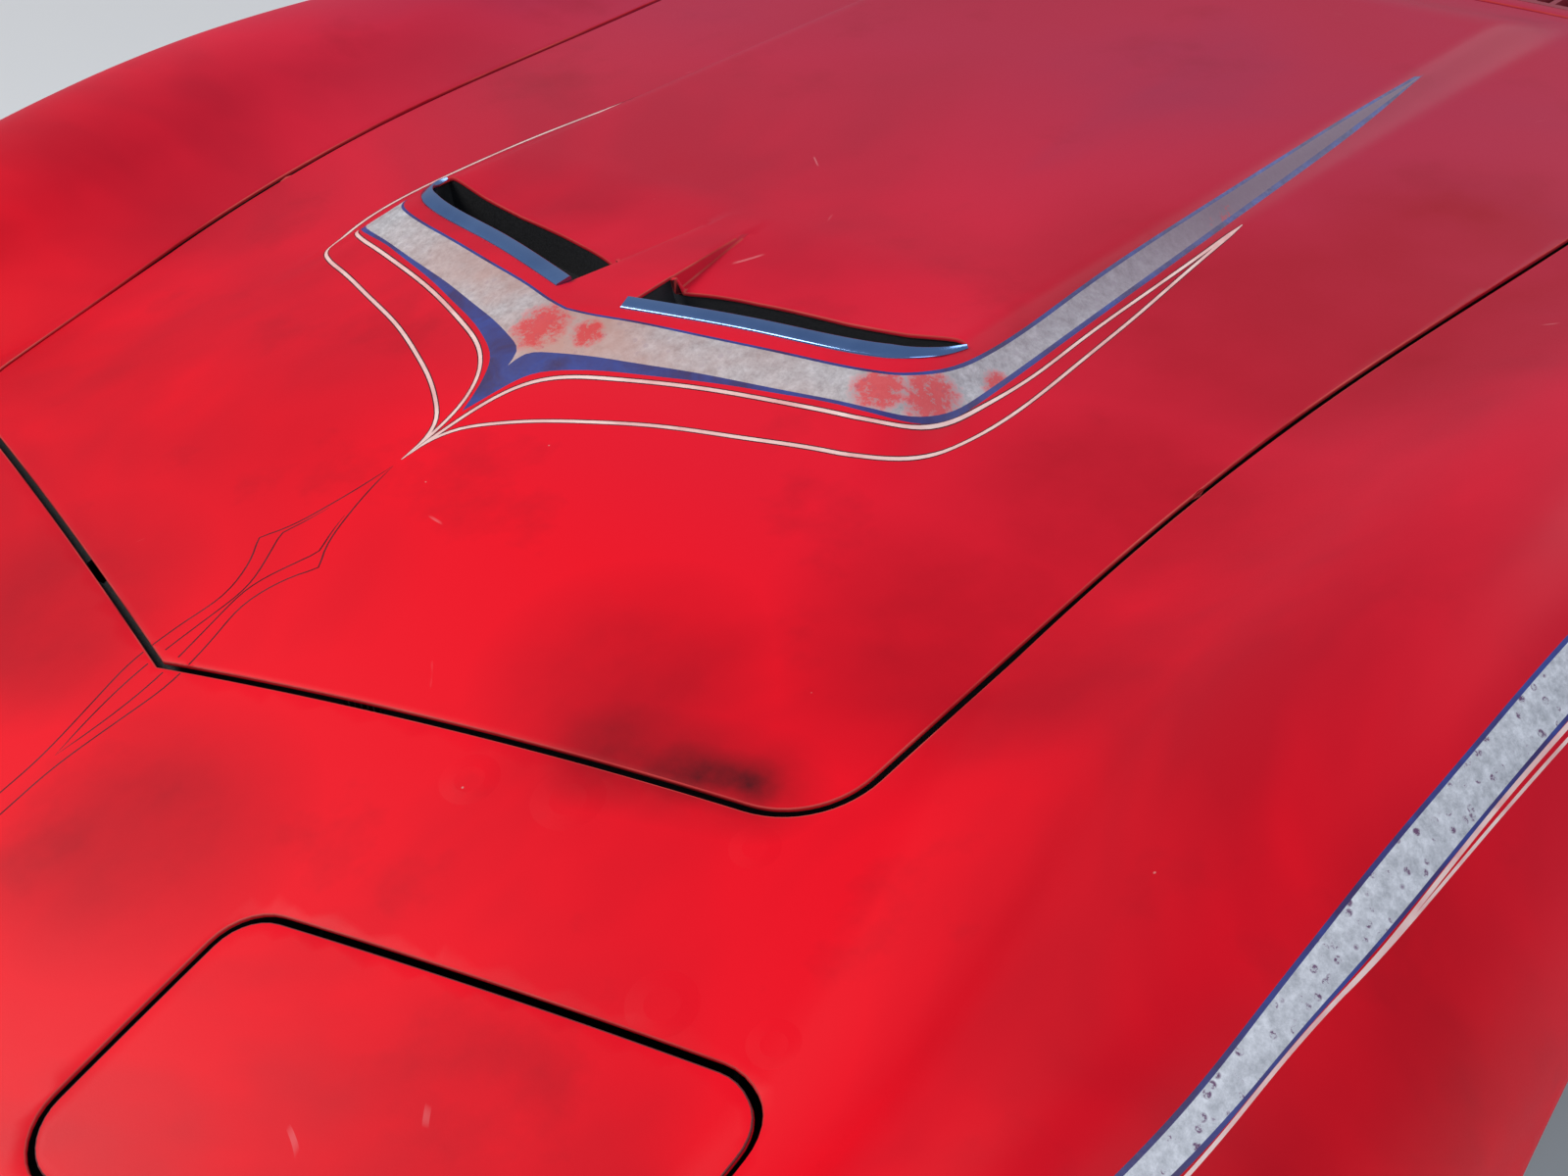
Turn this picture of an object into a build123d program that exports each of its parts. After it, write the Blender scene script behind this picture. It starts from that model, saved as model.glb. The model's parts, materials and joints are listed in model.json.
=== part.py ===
from build123d import *
from math import atan2, cos, degrees, hypot, radians, sin, sqrt
import os

os.makedirs("parts", exist_ok=True)

# Front body section of a two-seat sports car, millimetres.
# x points to the car's left, y to its rear, z up. The origin is the centre of the
# bulkhead's bolt pattern, on its rear face. The bonnet's front tip is the styling datum.
TIP_Y = -1560.0
TIP_Z = 240.0
FAR = 900.0

# Body shell
WALL = 4.0
PANEL_GAP = 5.0
LEDGE_DROP = 16.0
LEDGE_WALL = 3.0
LEDGE_REACH = 22.0
LEDGE_SIDE_GAP = 6.0
JOINT_BEHIND_TIP = 130.0

# Nose and bonnet outlines, measured from the tip
V_SLOPE = 0.28
NOSE_REACH = 400.0
NOSE_CORNER_X = 560.0
NOSE_UNDERCUT = 7.0
NOSE_EDGE_Z = -130.0
NOSE_TIP_R = 120.0
NOSE_CORNER_R = 200.0
NOSE_SIDE_X = 905.0
NOSE_SIDE_Y = 60.0
NOSE_SIDE_R = 300.0
BONNET_CORNER_X = 482.0
BONNET_CORNER_R = 70.0
BONNET_TIP_R = 8.0
BONNET_REAR_R = 6.0
BONNET_LENGTH = 1428.0
BONNET_REAR_X = 556.0

# One row per body section, distances from the bonnet tip:
# y, centre z, seam x, seam z, seam slope, crest x, crest z, crest slope,
# shoulder x, shoulder z, waist x, waist z, foot x
STATIONS = [
    (-460, -165, 430, -200, -0.02, 610, -150, 0.05, 680, -190, 745, -290, 700),
    (-230, -78, 525, -130, 0.02, 675, -60, 0.05, 748, -90, 815, -197, 782),
    (0, 0, 560, -44, 0.06, 735, 30, 0.02, 800, -2, 858, -130, 812),
    (260, 79, 500, 40, 0.12, 738, 111, -0.04, 802, 86, 875, -80, 830),
    (560, 121, 506, 105, 0.16, 735, 165, -0.05, 800, 137, 876, -80, 826),
    (900, 148, 525, 132, 0.06, 735, 166, -0.08, 800, 137, 870, -86, 819),
    (1260, 168, 546, 153, -0.02, 735, 150, -0.16, 798, 119, 865, -96, 814),
    (1450, 176, 556, 161, -0.05, 735, 142, -0.19, 797, 110, 863, -98, 813),
    (1640, 182, 567, 168, -0.08, 735, 132, -0.22, 797, 100, 862, -100, 812),
]
FOOT_Z = -510.0
FOOT_SPARE = 20.0
FOOT_LEAN = 0.22
SHOULDER_FALL = 0.95

# Wheel
WHEEL_BEHIND_TIP = 575.0
WHEEL_Z = -353.0
ARCH_R = 372.0
WHEELHOUSE_R = 386.0
WHEELHOUSE_X = 462.0
SHEET = 3.0

# Bulkhead bolts
BOLT_SPAN_X = 900.0
BOLT_SPAN_Z = 300.0
BOLT_R = 5.5
BULKHEAD_WALL = 8.0
BULKHEAD_FOOT_Z = -430.0

# Bonnet dome, from the tip
DOME_TOP_Y = 385.0
DOME_TOP_Z = 132.0
DOME_TOP_SLOPE = 0.0594
DOME_TOP_X = 284.0
DOME_TOP_REAR_Y = 1330.0
DOME_FOOT_Y = 128.0
DOME_FOOT_Z = 12.0
DOME_FOOT_SLOPE = 0.085
DOME_FOOT_X = 390.0
DOME_FOOT_REAR_Y = 1560.0
DOME_CORNER_R = 45.0
DOME_FOOT_R = 110.0

# Scoop recesses in the dome
SCOOP_IN_X = 34.0
SCOOP_OUT_X = 268.0
SCOOP_FRONT_Y = 420.0
SCOOP_CORNER_R = 30.0
SCOOP_SLOPE = 0.225
SCOOP_DEPTH = 15.0
SCOOP_LENGTH = 175.0
SCOOP_MOUTH = 52.0
MOUTH_SIDE = 3.0
MOUTH_DEPTH = 60.0
LIP_WIDTH = 13.0
LIP_HEIGHT = 4.0
LIP_RETURN = 50.0

# Headlamp lid outline and lamp pivot, from the tip
LID_IN_X = 222.0
LID_OUT_X = 582.0
LID_REAR_Y = -160.0
LID_DEPTH = 190.0
LID_CORNER_R = 36.0
LID_REAR_Z = -47.0
LAMP_PIVOT_BEHIND = 60.0
LAMP_PIVOT_BELOW = 44.0
LAMP_SHIFT = -22.0
LAMP_R = 60.0
LAMP_SPAN = 144.0
LAMP_TILT = 55.0
LAMP_AHEAD = 130.0
LAMP_ABOVE = 60.0
LAMP_LENGTH = 44.0
BEZEL_WALL = 8.0
LAMP_ARM_U = 150.0
LAMP_ARM_WALL = 4.0
ARM_CORNER_R = 3.0
EYE_R = 13.0
PIN_R = 6.0
PIN_CLEARANCE = 0.05
PIN_REACH = 120.0
LAMP_BEZEL_RIM = 3.0
LAMP_PROUD = 4.0
LAMP_TAPER = 14.0
LAMP_ARM_OUTLINE = [(-13, 0), (-13, 8), (66, 112), (84, 112), (190, 52), (214, -40), (106, -40), (96, 16),
                    (60, 40), (12, -12), (-9, -12)]
BUCKET_GROW = 18.0
BUCKET_WALL = 2.5
BUCKET_FLOOR_Z = -236.0
BUCKET_REAR = 84.0
BUCKET_NOSE_GAP = 3.0

# Cowl air intake behind the bonnet
COWL_SLOT_Y = 1492.0
COWL_SLOT_X = 430.0
COWL_SLOT_DEPTH = 84.0
COWL_BARS = 44
COWL_BAR_WIDTH = 6.0
COWL_BAR_DEPTH = 12.0
COWL_RIM = 8.0
COWL_CORNER_R = 8.0

# Bonnet frame
FRAME_SIDE_GAP = 8.0
FRAME_BAND = 46.0
FRAME_DEPTH = 10.0
RIB_FRONT_Y = 560.0
RIB_REAR_Y = 980.0

# Side vent behind the wheel
VENT_FRONT_Y = 1050.0
VENT_REAR_Y = 1330.0
VENT_LOW_Z = -330.0
VENT_HIGH_Z = -110.0
VENT_BLADES = 6
VENT_BLADE_WIDTH = 14.0
VENT_DEPTH = 14.0
VENT_RIM = 10.0
FLANK_X = 700.0

# Engine bay
RADIATOR_Y = 188.0
RADIATOR_THICK = 56.0
RADIATOR_X = 285.0
RADIATOR_LOW_Z = -455.0
RADIATOR_HIGH_Z = -75.0
FRAME_WALL = 4.0
FRAME_BAR = 36.0
SUPPORT_DEPTH = 60.0
BAFFLE_HIGH_Z = -200.0
RADIATOR_FOOT = 20.0
SEAT_GAP = 0.3

# Bonnet hinge, from the tip
HINGE_AHEAD = 62.0
HINGE_BELOW = 48.0
HINGE_X = 150.0
HINGE_NOTCH = 17.0
HINGE_ARM_WIDTH = 8.0
HINGE_SIDE_GAP = 5.0
BRACKET_WALL = 5.0
BRACKET_REACH = HINGE_AHEAD + RADIATOR_Y - SUPPORT_DEPTH / 2
BRACKET_OUTLINE = [(-14, -14), (10, -30), (BRACKET_REACH, -104), (BRACKET_REACH, -60), (30, 4), (14, 14),
                   (-14, 14)]
HINGE_ARM_OUTLINE = [(-13, 0), (-8, -12), (34, -92), (132, -92), (176, 30), (176, 120), (130, 120), (138, 20),
                     (118, -68), (48, -68), (13, 6), (0, 13), (-13, 6)]

# Bonnet catches
STRIKER_X = 420.0
STRIKER_Y = 1374.0
STRIKER_R = 7.0
STRIKER_LOW_Z = 96.0
CATCH_HALF = 24.0
CATCH_BELOW = 6.0
CATCH_ABOVE = 18.0
CATCH_CLEARANCE = 5.0

# Front end
BUMPER_END_Y = -110.0
GRILLE_DEPTH = 18.0
GRILLE_BARS = 5
GRILLE_BAR_HEIGHT = 5.0
FRAME_MOUNT_X = 240.0
FRAME_MOUNT_R = 6.5
SPLIT_Z = -190.0
BUMPER_DEPTH = 28.0
BUMPER_LOW_Z = -226.0
BUMPER_HIGH_Z = -160.0
GRILLE_LOW_Z = -350.0
GRILLE_HIGH_Z = -244.0
GRILLE_IN_X = 70.0
GRILLE_OUT_X = 500.0
LAMP_IN_X = 540.0
LAMP_OUT_X = 650.0
LAMP_EDGE = 15.0
OPENING_R = 14.0
GRILLE_SET_IN = 2.0
GRILLE_RIM = 8.0
TURN_LAMP_PROUD = 4.0
TURN_LAMP_DEPTH = 20.0


def at_tip(y=0.0, z=0.0):
    return TIP_Y + y, TIP_Z + z


def unit(x, z):
    length = hypot(x, z)
    return x / length, z / length


def biarc(start, start_dir, end, end_dir):
    """Two tangent arcs from start to end, with given directions at both ends."""
    vx, vz = end[0] - start[0], end[1] - start[1]
    tx, tz = start_dir[0] + end_dir[0], start_dir[1] + end_dir[1]
    spread = 2 * (1 - start_dir[0] * end_dir[0] - start_dir[1] * end_dir[1])
    along = vx * tx + vz * tz
    chord = vx * vx + vz * vz
    if spread < 1e-6:
        reach = chord / (2 * along)
    else:
        reach = (sqrt(along * along + spread * chord) - along) / spread
    first = start[0] + reach * start_dir[0], start[1] + reach * start_dir[1]
    last = end[0] - reach * end_dir[0], end[1] - reach * end_dir[1]
    middle = (first[0] + last[0]) / 2, (first[1] + last[1]) / 2
    middle_dir = unit(last[0] - first[0], last[1] - first[1])
    TangentArc(start, middle, tangent=start_dir)
    TangentArc(middle, end, tangent=middle_dir)


def inset_point(point, direction, inset):
    """Moves a point of the outline inwards, to the right of its direction."""
    return point[0] + direction[1] * inset, point[1] - direction[0] * inset


def section_lines(row, inset):
    """Outline of the body at one station, drawn from the left foot to the right foot."""
    (_, centre_z, seam_x, seam_z, seam_slope, crest_x, crest_z, crest_slope,
     shoulder_x, shoulder_z, waist_x, waist_z, foot_x) = row
    drop = centre_z - seam_z
    crown_dir = unit(seam_x ** 2 - drop ** 2, -2 * seam_x * drop)
    knots = [
        ((seam_x, seam_z), unit(1, seam_slope)),
        ((crest_x, crest_z), unit(1, crest_slope)),
        ((shoulder_x, shoulder_z), unit(1, -SHOULDER_FALL)),
        ((waist_x, waist_z), (0, -1)),
        ((foot_x, FOOT_Z), unit(-FOOT_LEAN, -1)),
    ]
    knots = [(inset_point(p, d, inset), d) for p, d in knots]
    foot = knots[-1][0][0], FOOT_Z - (FOOT_SPARE if inset else 0)
    knots[-1] = (foot, knots[-1][1])
    right = knots[0][0]
    ThreePointArc((-right[0], right[1]), (0, centre_z - inset), right)
    for (p0, d0), (p1, d1) in zip(knots, knots[1:]):
        biarc(p0, d0, p1, d1)
        biarc((-p1[0], p1[1]), (d1[0], -d1[1]), (-p0[0], p0[1]), (d0[0], -d0[1]))
    Line(foot, (-foot[0], foot[1]))


def body_form(inset=0.0):
    """The whole outer form of the body, or the same form set in by a wall."""
    with BuildPart() as form:
        for row in STATIONS:
            y, z = at_tip(row[0])
            plane = Plane(origin=(0, y, z), x_dir=(1, 0, 0), z_dir=(0, -1, 0))
            with BuildSketch(plane):
                with BuildLine():
                    section_lines(row, inset)
                make_face()
        loft()
    return form.part


def mirrored_outline(points, radii):
    """Closed outline symmetric about x=0 with a rounded corner at each side point."""
    left = [(-x, y) for x, y in reversed(points) if x > 0]
    corners = points + left
    FilletPolyline(*corners, radius=radii + list(reversed(radii[1:])), close=True)


def plan_plane(z):
    return Plane.XY.offset(TIP_Z + z)


def nose_form(inset=0.0):
    """Everything inside the nose's outline in plan, drawn in under the nose edge."""
    corners = [
        (0, TIP_Y - NOSE_REACH),
        (NOSE_CORNER_X, TIP_Y - NOSE_REACH + V_SLOPE * NOSE_CORNER_X),
        (NOSE_SIDE_X, TIP_Y + NOSE_SIDE_Y),
        (NOSE_SIDE_X, COWL_SLOT_DEPTH),
    ]
    with BuildPart() as form:
        with BuildSketch(plan_plane(NOSE_EDGE_Z)) as plan:
            with BuildLine():
                mirrored_outline(corners, [NOSE_TIP_R, NOSE_CORNER_R, NOSE_SIDE_R, 0])
            make_face()
            if inset:
                offset(amount=-inset)
        extrude(amount=FAR)
        extrude(plan.sketch, amount=FOOT_Z - NOSE_EDGE_Z - FOOT_SPARE, taper=NOSE_UNDERCUT)
    return form.part


def bonnet_outline():
    """Bonnet's outline in plan, along the middle of the gap to the body."""
    corners = [
        (0, TIP_Y),
        (BONNET_CORNER_X, TIP_Y + V_SLOPE * BONNET_CORNER_X),
        (BONNET_REAR_X, TIP_Y + BONNET_LENGTH),
    ]
    mirrored_outline(corners, [BONNET_TIP_R, BONNET_CORNER_R, BONNET_REAR_R])


def bonnet_prism(spread=0.0, floor=FOOT_Z):
    """Upright prism over the bonnet's outline, spread outwards or drawn in."""
    with BuildPart() as prism:
        with BuildSketch(plan_plane(floor)):
            with BuildLine():
                bonnet_outline()
            make_face()
            if spread:
                offset(amount=spread)
        extrude(amount=FAR)
    return prism.part


def dome_outline(half_width, front_y, rear_y, corner_r):
    """Dome outline with a V front, level with the bonnet's front edge."""
    corners = [(0, front_y), (half_width, front_y + V_SLOPE * half_width), (half_width, rear_y)]
    mirrored_outline(corners, [corner_r, corner_r, corner_r / 2])


def dome_plane(front_z, front_y, slope):
    """Plane through the dome's front tip, rising to the rear at a slope."""
    start_y, start_z = at_tip(0, front_z - slope * front_y)
    return Plane(origin=(0, start_y, start_z), x_dir=(1, 0, 0), z_dir=(0, -slope, 1))


def dome_form(inset=0.0):
    with BuildPart() as form:
        with BuildSketch(dome_plane(DOME_FOOT_Z - inset, DOME_FOOT_Y, DOME_FOOT_SLOPE)):
            with BuildLine():
                dome_outline(DOME_FOOT_X - inset, DOME_FOOT_Y + inset, DOME_FOOT_REAR_Y, DOME_FOOT_R)
            make_face()
        with BuildSketch(dome_plane(DOME_TOP_Z - inset, DOME_TOP_Y, DOME_TOP_SLOPE)):
            with BuildLine():
                dome_outline(DOME_TOP_X - inset, DOME_TOP_Y + inset, DOME_TOP_REAR_Y, DOME_CORNER_R)
            make_face()
        loft(ruled=True)
    return form.part


def scoop_plane(lift=0.0):
    """Tilted plane of the scoop floors, deepest under the lips."""
    floor_z = DOME_TOP_Z - SCOOP_DEPTH + lift
    slope = DOME_TOP_SLOPE + SCOOP_DEPTH / SCOOP_LENGTH
    start_y, start_z = at_tip(0, floor_z - slope * SCOOP_FRONT_Y)
    return Plane(origin=(0, start_y, start_z), x_dir=(1, 0, 0), z_dir=(0, -slope, 1))


def scoop_outline(side, grow=0.0):
    """One scoop recess in plan, its front edge swept back."""
    front_in = SCOOP_FRONT_Y + SCOOP_SLOPE * SCOOP_IN_X - grow
    front_out = SCOOP_FRONT_Y + SCOOP_SLOPE * SCOOP_OUT_X - grow
    rear = SCOOP_FRONT_Y + 2 * SCOOP_LENGTH
    inside, outside = SCOOP_IN_X - grow, SCOOP_OUT_X + grow
    corners = [(inside, front_in), (outside, front_out), (outside, rear), (inside, rear)]
    radii = [MOUTH_SIDE, SCOOP_CORNER_R + grow, 0, 0]
    FilletPolyline(*[(side * x, y) for x, y in corners], radius=radii, close=True)


def scoop_form(side, grow=0.0):
    with BuildPart() as form:
        with BuildSketch(scoop_plane(-grow)):
            with BuildLine():
                scoop_outline(side, grow)
            make_face()
        extrude(amount=FAR)
    return form.part


def mouth_form(side):
    """Mouth of one scoop, open downwards behind its lip."""
    inside, outside = SCOOP_IN_X + MOUTH_SIDE, SCOOP_OUT_X - MOUTH_SIDE
    ends = [(x, SCOOP_FRONT_Y + SCOOP_SLOPE * x + y) for x, y in
            ((inside, MOUTH_SIDE), (outside, MOUTH_SIDE), (outside, SCOOP_MOUTH), (inside, SCOOP_MOUTH))]
    with BuildPart() as form:
        with BuildSketch(scoop_plane(-MOUTH_DEPTH)):
            with BuildLine():
                FilletPolyline(*[(side * x, y) for x, y in ends], radius=MOUTH_SIDE, close=True)
            make_face()
        extrude(amount=2 * MOUTH_DEPTH)
    return form.part


def lid_corners(grow=0.0):
    """Headlamp lid corners: rear inner, rear outer, front outer, front inner."""
    rows = []
    for x, y in ((LID_IN_X - grow, LID_REAR_Y + grow), (LID_OUT_X + grow, LID_REAR_Y + grow)):
        rows.append((x, TIP_Y + y + V_SLOPE * x))
    front = LID_DEPTH + 2 * grow
    return [rows[0], rows[1], (rows[1][0], rows[1][1] - front), (rows[0][0], rows[0][1] - front)]


def lid_prism(side, grow=0.0):
    with BuildPart() as prism:
        with BuildSketch(plan_plane(SPLIT_Z)):
            with BuildLine():
                FilletPolyline(*[(side * x, y) for x, y in lid_corners(grow)],
                               radius=LID_CORNER_R + grow, close=True)
            make_face()
        extrude(amount=FAR)
    return prism.part


def slab(x0, x1, y0, y1, z0, z1):
    """Plain block between limits; y and z are measured from the tip."""
    with BuildPart() as block:
        with Locations(((x0 + x1) / 2, TIP_Y + (y0 + y1) / 2, TIP_Z + (z0 + z1) / 2)):
            Box(x1 - x0, y1 - y0, z1 - z0)
    return block.part


def across(x, y, z):
    """Plane facing left at x, with its own axes along y and z; y and z from the tip."""
    return Plane(origin=(x, TIP_Y + y, TIP_Z + z), x_dir=(0, 1, 0), z_dir=(1, 0, 0))


form_outer = body_form()
form_inner = body_form(WALL)
joint_plane = Plane.XZ.offset(-(TIP_Y + JOINT_BEHIND_TIP))
rear_plane = Plane.XZ.offset(0)
split_plane = plan_plane(SPLIT_Z)
cowl_edge = BONNET_REAR_X + PANEL_GAP / 2
ledge_out = LEDGE_SIDE_GAP + LEDGE_WALL

# Space under the bonnet, up to the inner face of the skin
with BuildPart() as bay:
    add(form_inner)
    add(bonnet_prism(ledge_out), mode=Mode.INTERSECT)

# Bonnet skin: the dome rises from the body's form, the scoop pans are sunk into it
with BuildPart() as bonnet:
    add(form_outer)
    add(bonnet_prism(-PANEL_GAP / 2), mode=Mode.INTERSECT)
    with BuildPart(mode=Mode.PRIVATE) as bonnet_dome:
        add(dome_form())
        add(bonnet_prism(-PANEL_GAP / 2), mode=Mode.INTERSECT)
    with BuildPart(mode=Mode.PRIVATE) as bonnet_core:
        add(bay.part)
        add(dome_form(WALL))
        for side in (-1, 1):
            add(scoop_form(side, WALL), mode=Mode.SUBTRACT)
    add(bonnet_dome.part)
    for side in (-1, 1):
        add(scoop_form(side), mode=Mode.SUBTRACT)
    add(bonnet_core.part, mode=Mode.SUBTRACT)
    for side in (-1, 1):
        add(mouth_form(side), mode=Mode.SUBTRACT)
bonnet.part.label = "bonnet"
export_step(bonnet.part, "parts/bonnet.step")

# Bonnet's inner frame: edge channel and two cross ribs under the skin
with BuildPart() as bonnet_frame:
    add(bay.part)
    with BuildPart(mode=Mode.PRIVATE) as frame_plan:
        add(bonnet_prism(-LEDGE_REACH - FRAME_SIDE_GAP))
        add(bonnet_prism(-LEDGE_REACH - FRAME_SIDE_GAP - FRAME_BAND, FOOT_Z - FOOT_SPARE), mode=Mode.SUBTRACT)
        for y in (RIB_FRONT_Y, RIB_REAR_Y):
            add(slab(-BONNET_CORNER_X, BONNET_CORNER_X, y, y + FRAME_BAND, FOOT_Z, FAR))
        for side in (-1, 1):
            add(mouth_form(side), mode=Mode.SUBTRACT)
    add(frame_plan.part, mode=Mode.INTERSECT)
    add(Pos(0, 0, -FRAME_DEPTH) * bay.part, mode=Mode.SUBTRACT)
bonnet_frame.part.label = "bonnet_frame"
export_step(bonnet_frame.part, "parts/bonnet_frame.step")

# Ledge that the bonnet's edge shuts over, with notches for the hinge arms
with BuildPart() as bonnet_ledge:
    add(bay.part)
    add(bonnet_prism(-LEDGE_REACH, FOOT_Z - FOOT_SPARE), mode=Mode.SUBTRACT)
    add(Pos(0, 0, WALL - LEDGE_DROP - LEDGE_WALL) * bay.part, mode=Mode.SUBTRACT)
    with BuildPart(mode=Mode.PRIVATE) as ledge_upper:
        add(bonnet_prism(ledge_out - LEDGE_WALL))
        add(Pos(0, 0, WALL - LEDGE_DROP) * bay.part, mode=Mode.SUBTRACT)
    add(ledge_upper.part, mode=Mode.SUBTRACT)
    for side in (-1, 1):
        x = side * HINGE_X
        notch = slab(x - HINGE_NOTCH, x + HINGE_NOTCH, V_SLOPE * HINGE_X, 2 * HINGE_X, FOOT_Z, FAR)
        add(notch, mode=Mode.SUBTRACT)
bonnet_ledge.part.label = "bonnet_ledge"
export_step(bonnet_ledge.part, "parts/bonnet_ledge.step")

# Left half of the fixed skin ahead of the body joint, with the nose wall
with BuildPart() as front_left:
    add(form_outer)
    split(bisect_by=Plane.YZ, keep=Keep.TOP)
    split(bisect_by=joint_plane, keep=Keep.TOP)
    with BuildPart(mode=Mode.PRIVATE) as front_core:
        add(form_inner)
        split(bisect_by=Plane.YZ.offset(-1), keep=Keep.TOP)
        split(bisect_by=joint_plane.offset(-1), keep=Keep.TOP)
        add(nose_form(WALL), mode=Mode.INTERSECT)
    add(nose_form(), mode=Mode.INTERSECT)
    add(front_core.part, mode=Mode.SUBTRACT)
    add(bonnet_prism(PANEL_GAP / 2), mode=Mode.SUBTRACT)

with BuildPart() as nose_panel:
    add(front_left.part)
    split(bisect_by=split_plane, keep=Keep.TOP)
    add(lid_prism(1, PANEL_GAP / 2), mode=Mode.SUBTRACT)
    mirror(about=Plane.YZ)
nose_panel.part.label = "nose_panel"
export_step(nose_panel.part, "parts/nose_panel.step")

grille_mid_z = TIP_Z + (GRILLE_LOW_Z + GRILLE_HIGH_Z) / 2
turn_lamp_height = GRILLE_HIGH_Z - GRILLE_LOW_Z - 2 * LAMP_EDGE
with BuildPart() as valance:
    add(front_left.part)
    split(bisect_by=split_plane, keep=Keep.BOTTOM)
    with BuildSketch(Plane.XZ.offset(-TIP_Y)):
        with Locations(((GRILLE_IN_X + GRILLE_OUT_X) / 2, grille_mid_z)):
            RectangleRounded(GRILLE_OUT_X - GRILLE_IN_X, GRILLE_HIGH_Z - GRILLE_LOW_Z, OPENING_R)
        with Locations(((LAMP_IN_X + LAMP_OUT_X) / 2, grille_mid_z)):
            RectangleRounded(LAMP_OUT_X - LAMP_IN_X, turn_lamp_height, OPENING_R)
    extrude(amount=FAR, mode=Mode.SUBTRACT)
    mirror(about=Plane.YZ)
valance.part.label = "valance"
export_step(valance.part, "parts/valance.step")

# Left wing: top, flank and wheel arch edge, open below
with BuildPart() as rear_left:
    add(form_outer)
    split(bisect_by=Plane.YZ, keep=Keep.TOP)
    split(bisect_by=joint_plane, keep=Keep.BOTTOM)
    split(bisect_by=rear_plane, keep=Keep.TOP)
    add(bonnet_prism(PANEL_GAP / 2), mode=Mode.SUBTRACT)
    add(form_inner, mode=Mode.SUBTRACT)

cowl_zone = slab(-WALL, cowl_edge, BONNET_LENGTH, FAR - TIP_Y, FOOT_Z - FOOT_SPARE, FAR)
with BuildPart() as wing_left:
    add(rear_left.part)
    add(cowl_zone, mode=Mode.SUBTRACT)
    with BuildSketch(across(FLANK_X, WHEEL_BEHIND_TIP, WHEEL_Z)):
        Circle(ARCH_R)
    extrude(amount=FAR, mode=Mode.SUBTRACT)
    add(slab(FLANK_X, FAR, VENT_FRONT_Y, VENT_REAR_Y, VENT_LOW_Z, VENT_HIGH_Z), mode=Mode.SUBTRACT)
wing_left.part.label = "wing_left"
export_step(wing_left.part, "parts/wing_left.step")

with BuildPart() as cowl_panel:
    add(rear_left.part)
    add(cowl_zone, mode=Mode.INTERSECT)
    mirror(about=Plane.YZ)
    with BuildSketch(plan_plane(0)):
        with Locations((0, TIP_Y + COWL_SLOT_Y)):
            RectangleRounded(2 * COWL_SLOT_X, COWL_SLOT_DEPTH, COWL_CORNER_R)
    extrude(amount=FAR, mode=Mode.SUBTRACT)
cowl_panel.part.label = "cowl_panel"
export_step(cowl_panel.part, "parts/cowl_panel.step")

# Cowl intake grille: a frame with bars running fore and aft
with BuildPart() as cowl_grille:
    add(form_outer)
    add(slab(-BONNET_REAR_X, BONNET_REAR_X, BONNET_LENGTH, -TIP_Y, 0, FAR), mode=Mode.INTERSECT)
    with BuildPart(mode=Mode.PRIVATE) as grille_block:
        with BuildSketch(plan_plane(0)):
            with Locations((0, TIP_Y + COWL_SLOT_Y)):
                RectangleRounded(2 * COWL_SLOT_X, COWL_SLOT_DEPTH, COWL_CORNER_R)
                Rectangle(2 * (COWL_SLOT_X - COWL_RIM), COWL_SLOT_DEPTH - 2 * COWL_RIM, mode=Mode.SUBTRACT)
                with GridLocations(2 * COWL_SLOT_X / COWL_BARS, 0, COWL_BARS - 1, 1):
                    Rectangle(COWL_BAR_WIDTH, COWL_SLOT_DEPTH - COWL_RIM)
        extrude(amount=FAR)
    grille_zone = Pos(0, 0, -COWL_BAR_DEPTH) * cowl_grille.part
    add(grille_zone, mode=Mode.SUBTRACT)
    add(grille_block.part, mode=Mode.INTERSECT)
cowl_grille.part.label = "cowl_grille"
export_step(cowl_grille.part, "parts/cowl_grille.step")

# Bulkhead across the rear, inside the skin, with its bolt holes
with BuildPart() as bulkhead:
    add(form_inner)
    add(slab(-FAR, FAR, -TIP_Y - BULKHEAD_WALL, -TIP_Y, BULKHEAD_FOOT_Z, FAR), mode=Mode.INTERSECT)
    with Locations(Plane.XZ):
        with GridLocations(BOLT_SPAN_X, BOLT_SPAN_Z, 2, 2):
            Cylinder(BOLT_R, 4 * BULKHEAD_WALL, mode=Mode.SUBTRACT)
bulkhead.part.label = "bulkhead"
export_step(bulkhead.part, "parts/bulkhead.step")

# Left wheelhouse: an arched liner closed on the engine side
with BuildPart() as wheelhouse_left:
    with BuildSketch(across(WHEELHOUSE_X, WHEEL_BEHIND_TIP, WHEEL_Z)):
        Circle(WHEELHOUSE_R)
    extrude(amount=WHEELHOUSE_X)
    with BuildSketch(across(WHEELHOUSE_X + SHEET, WHEEL_BEHIND_TIP, WHEEL_Z)):
        Circle(WHEELHOUSE_R - SHEET)
    extrude(amount=WHEELHOUSE_X, mode=Mode.SUBTRACT)
    split(bisect_by=plan_plane(BULKHEAD_FOOT_Z), keep=Keep.TOP)
    add(form_inner, mode=Mode.INTERSECT)
wheelhouse_left.part.label = "wheelhouse_left"
export_step(wheelhouse_left.part, "parts/wheelhouse_left.step")

# Headlamp lid
with BuildPart() as headlamp_lid_left:
    add(form_outer)
    add(lid_prism(1, -PANEL_GAP / 2), mode=Mode.INTERSECT)
    add(form_inner, mode=Mode.SUBTRACT)
headlamp_lid_left.part.label = "headlamp_lid_left"
export_step(headlamp_lid_left.part, "parts/headlamp_lid_left.step")

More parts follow.
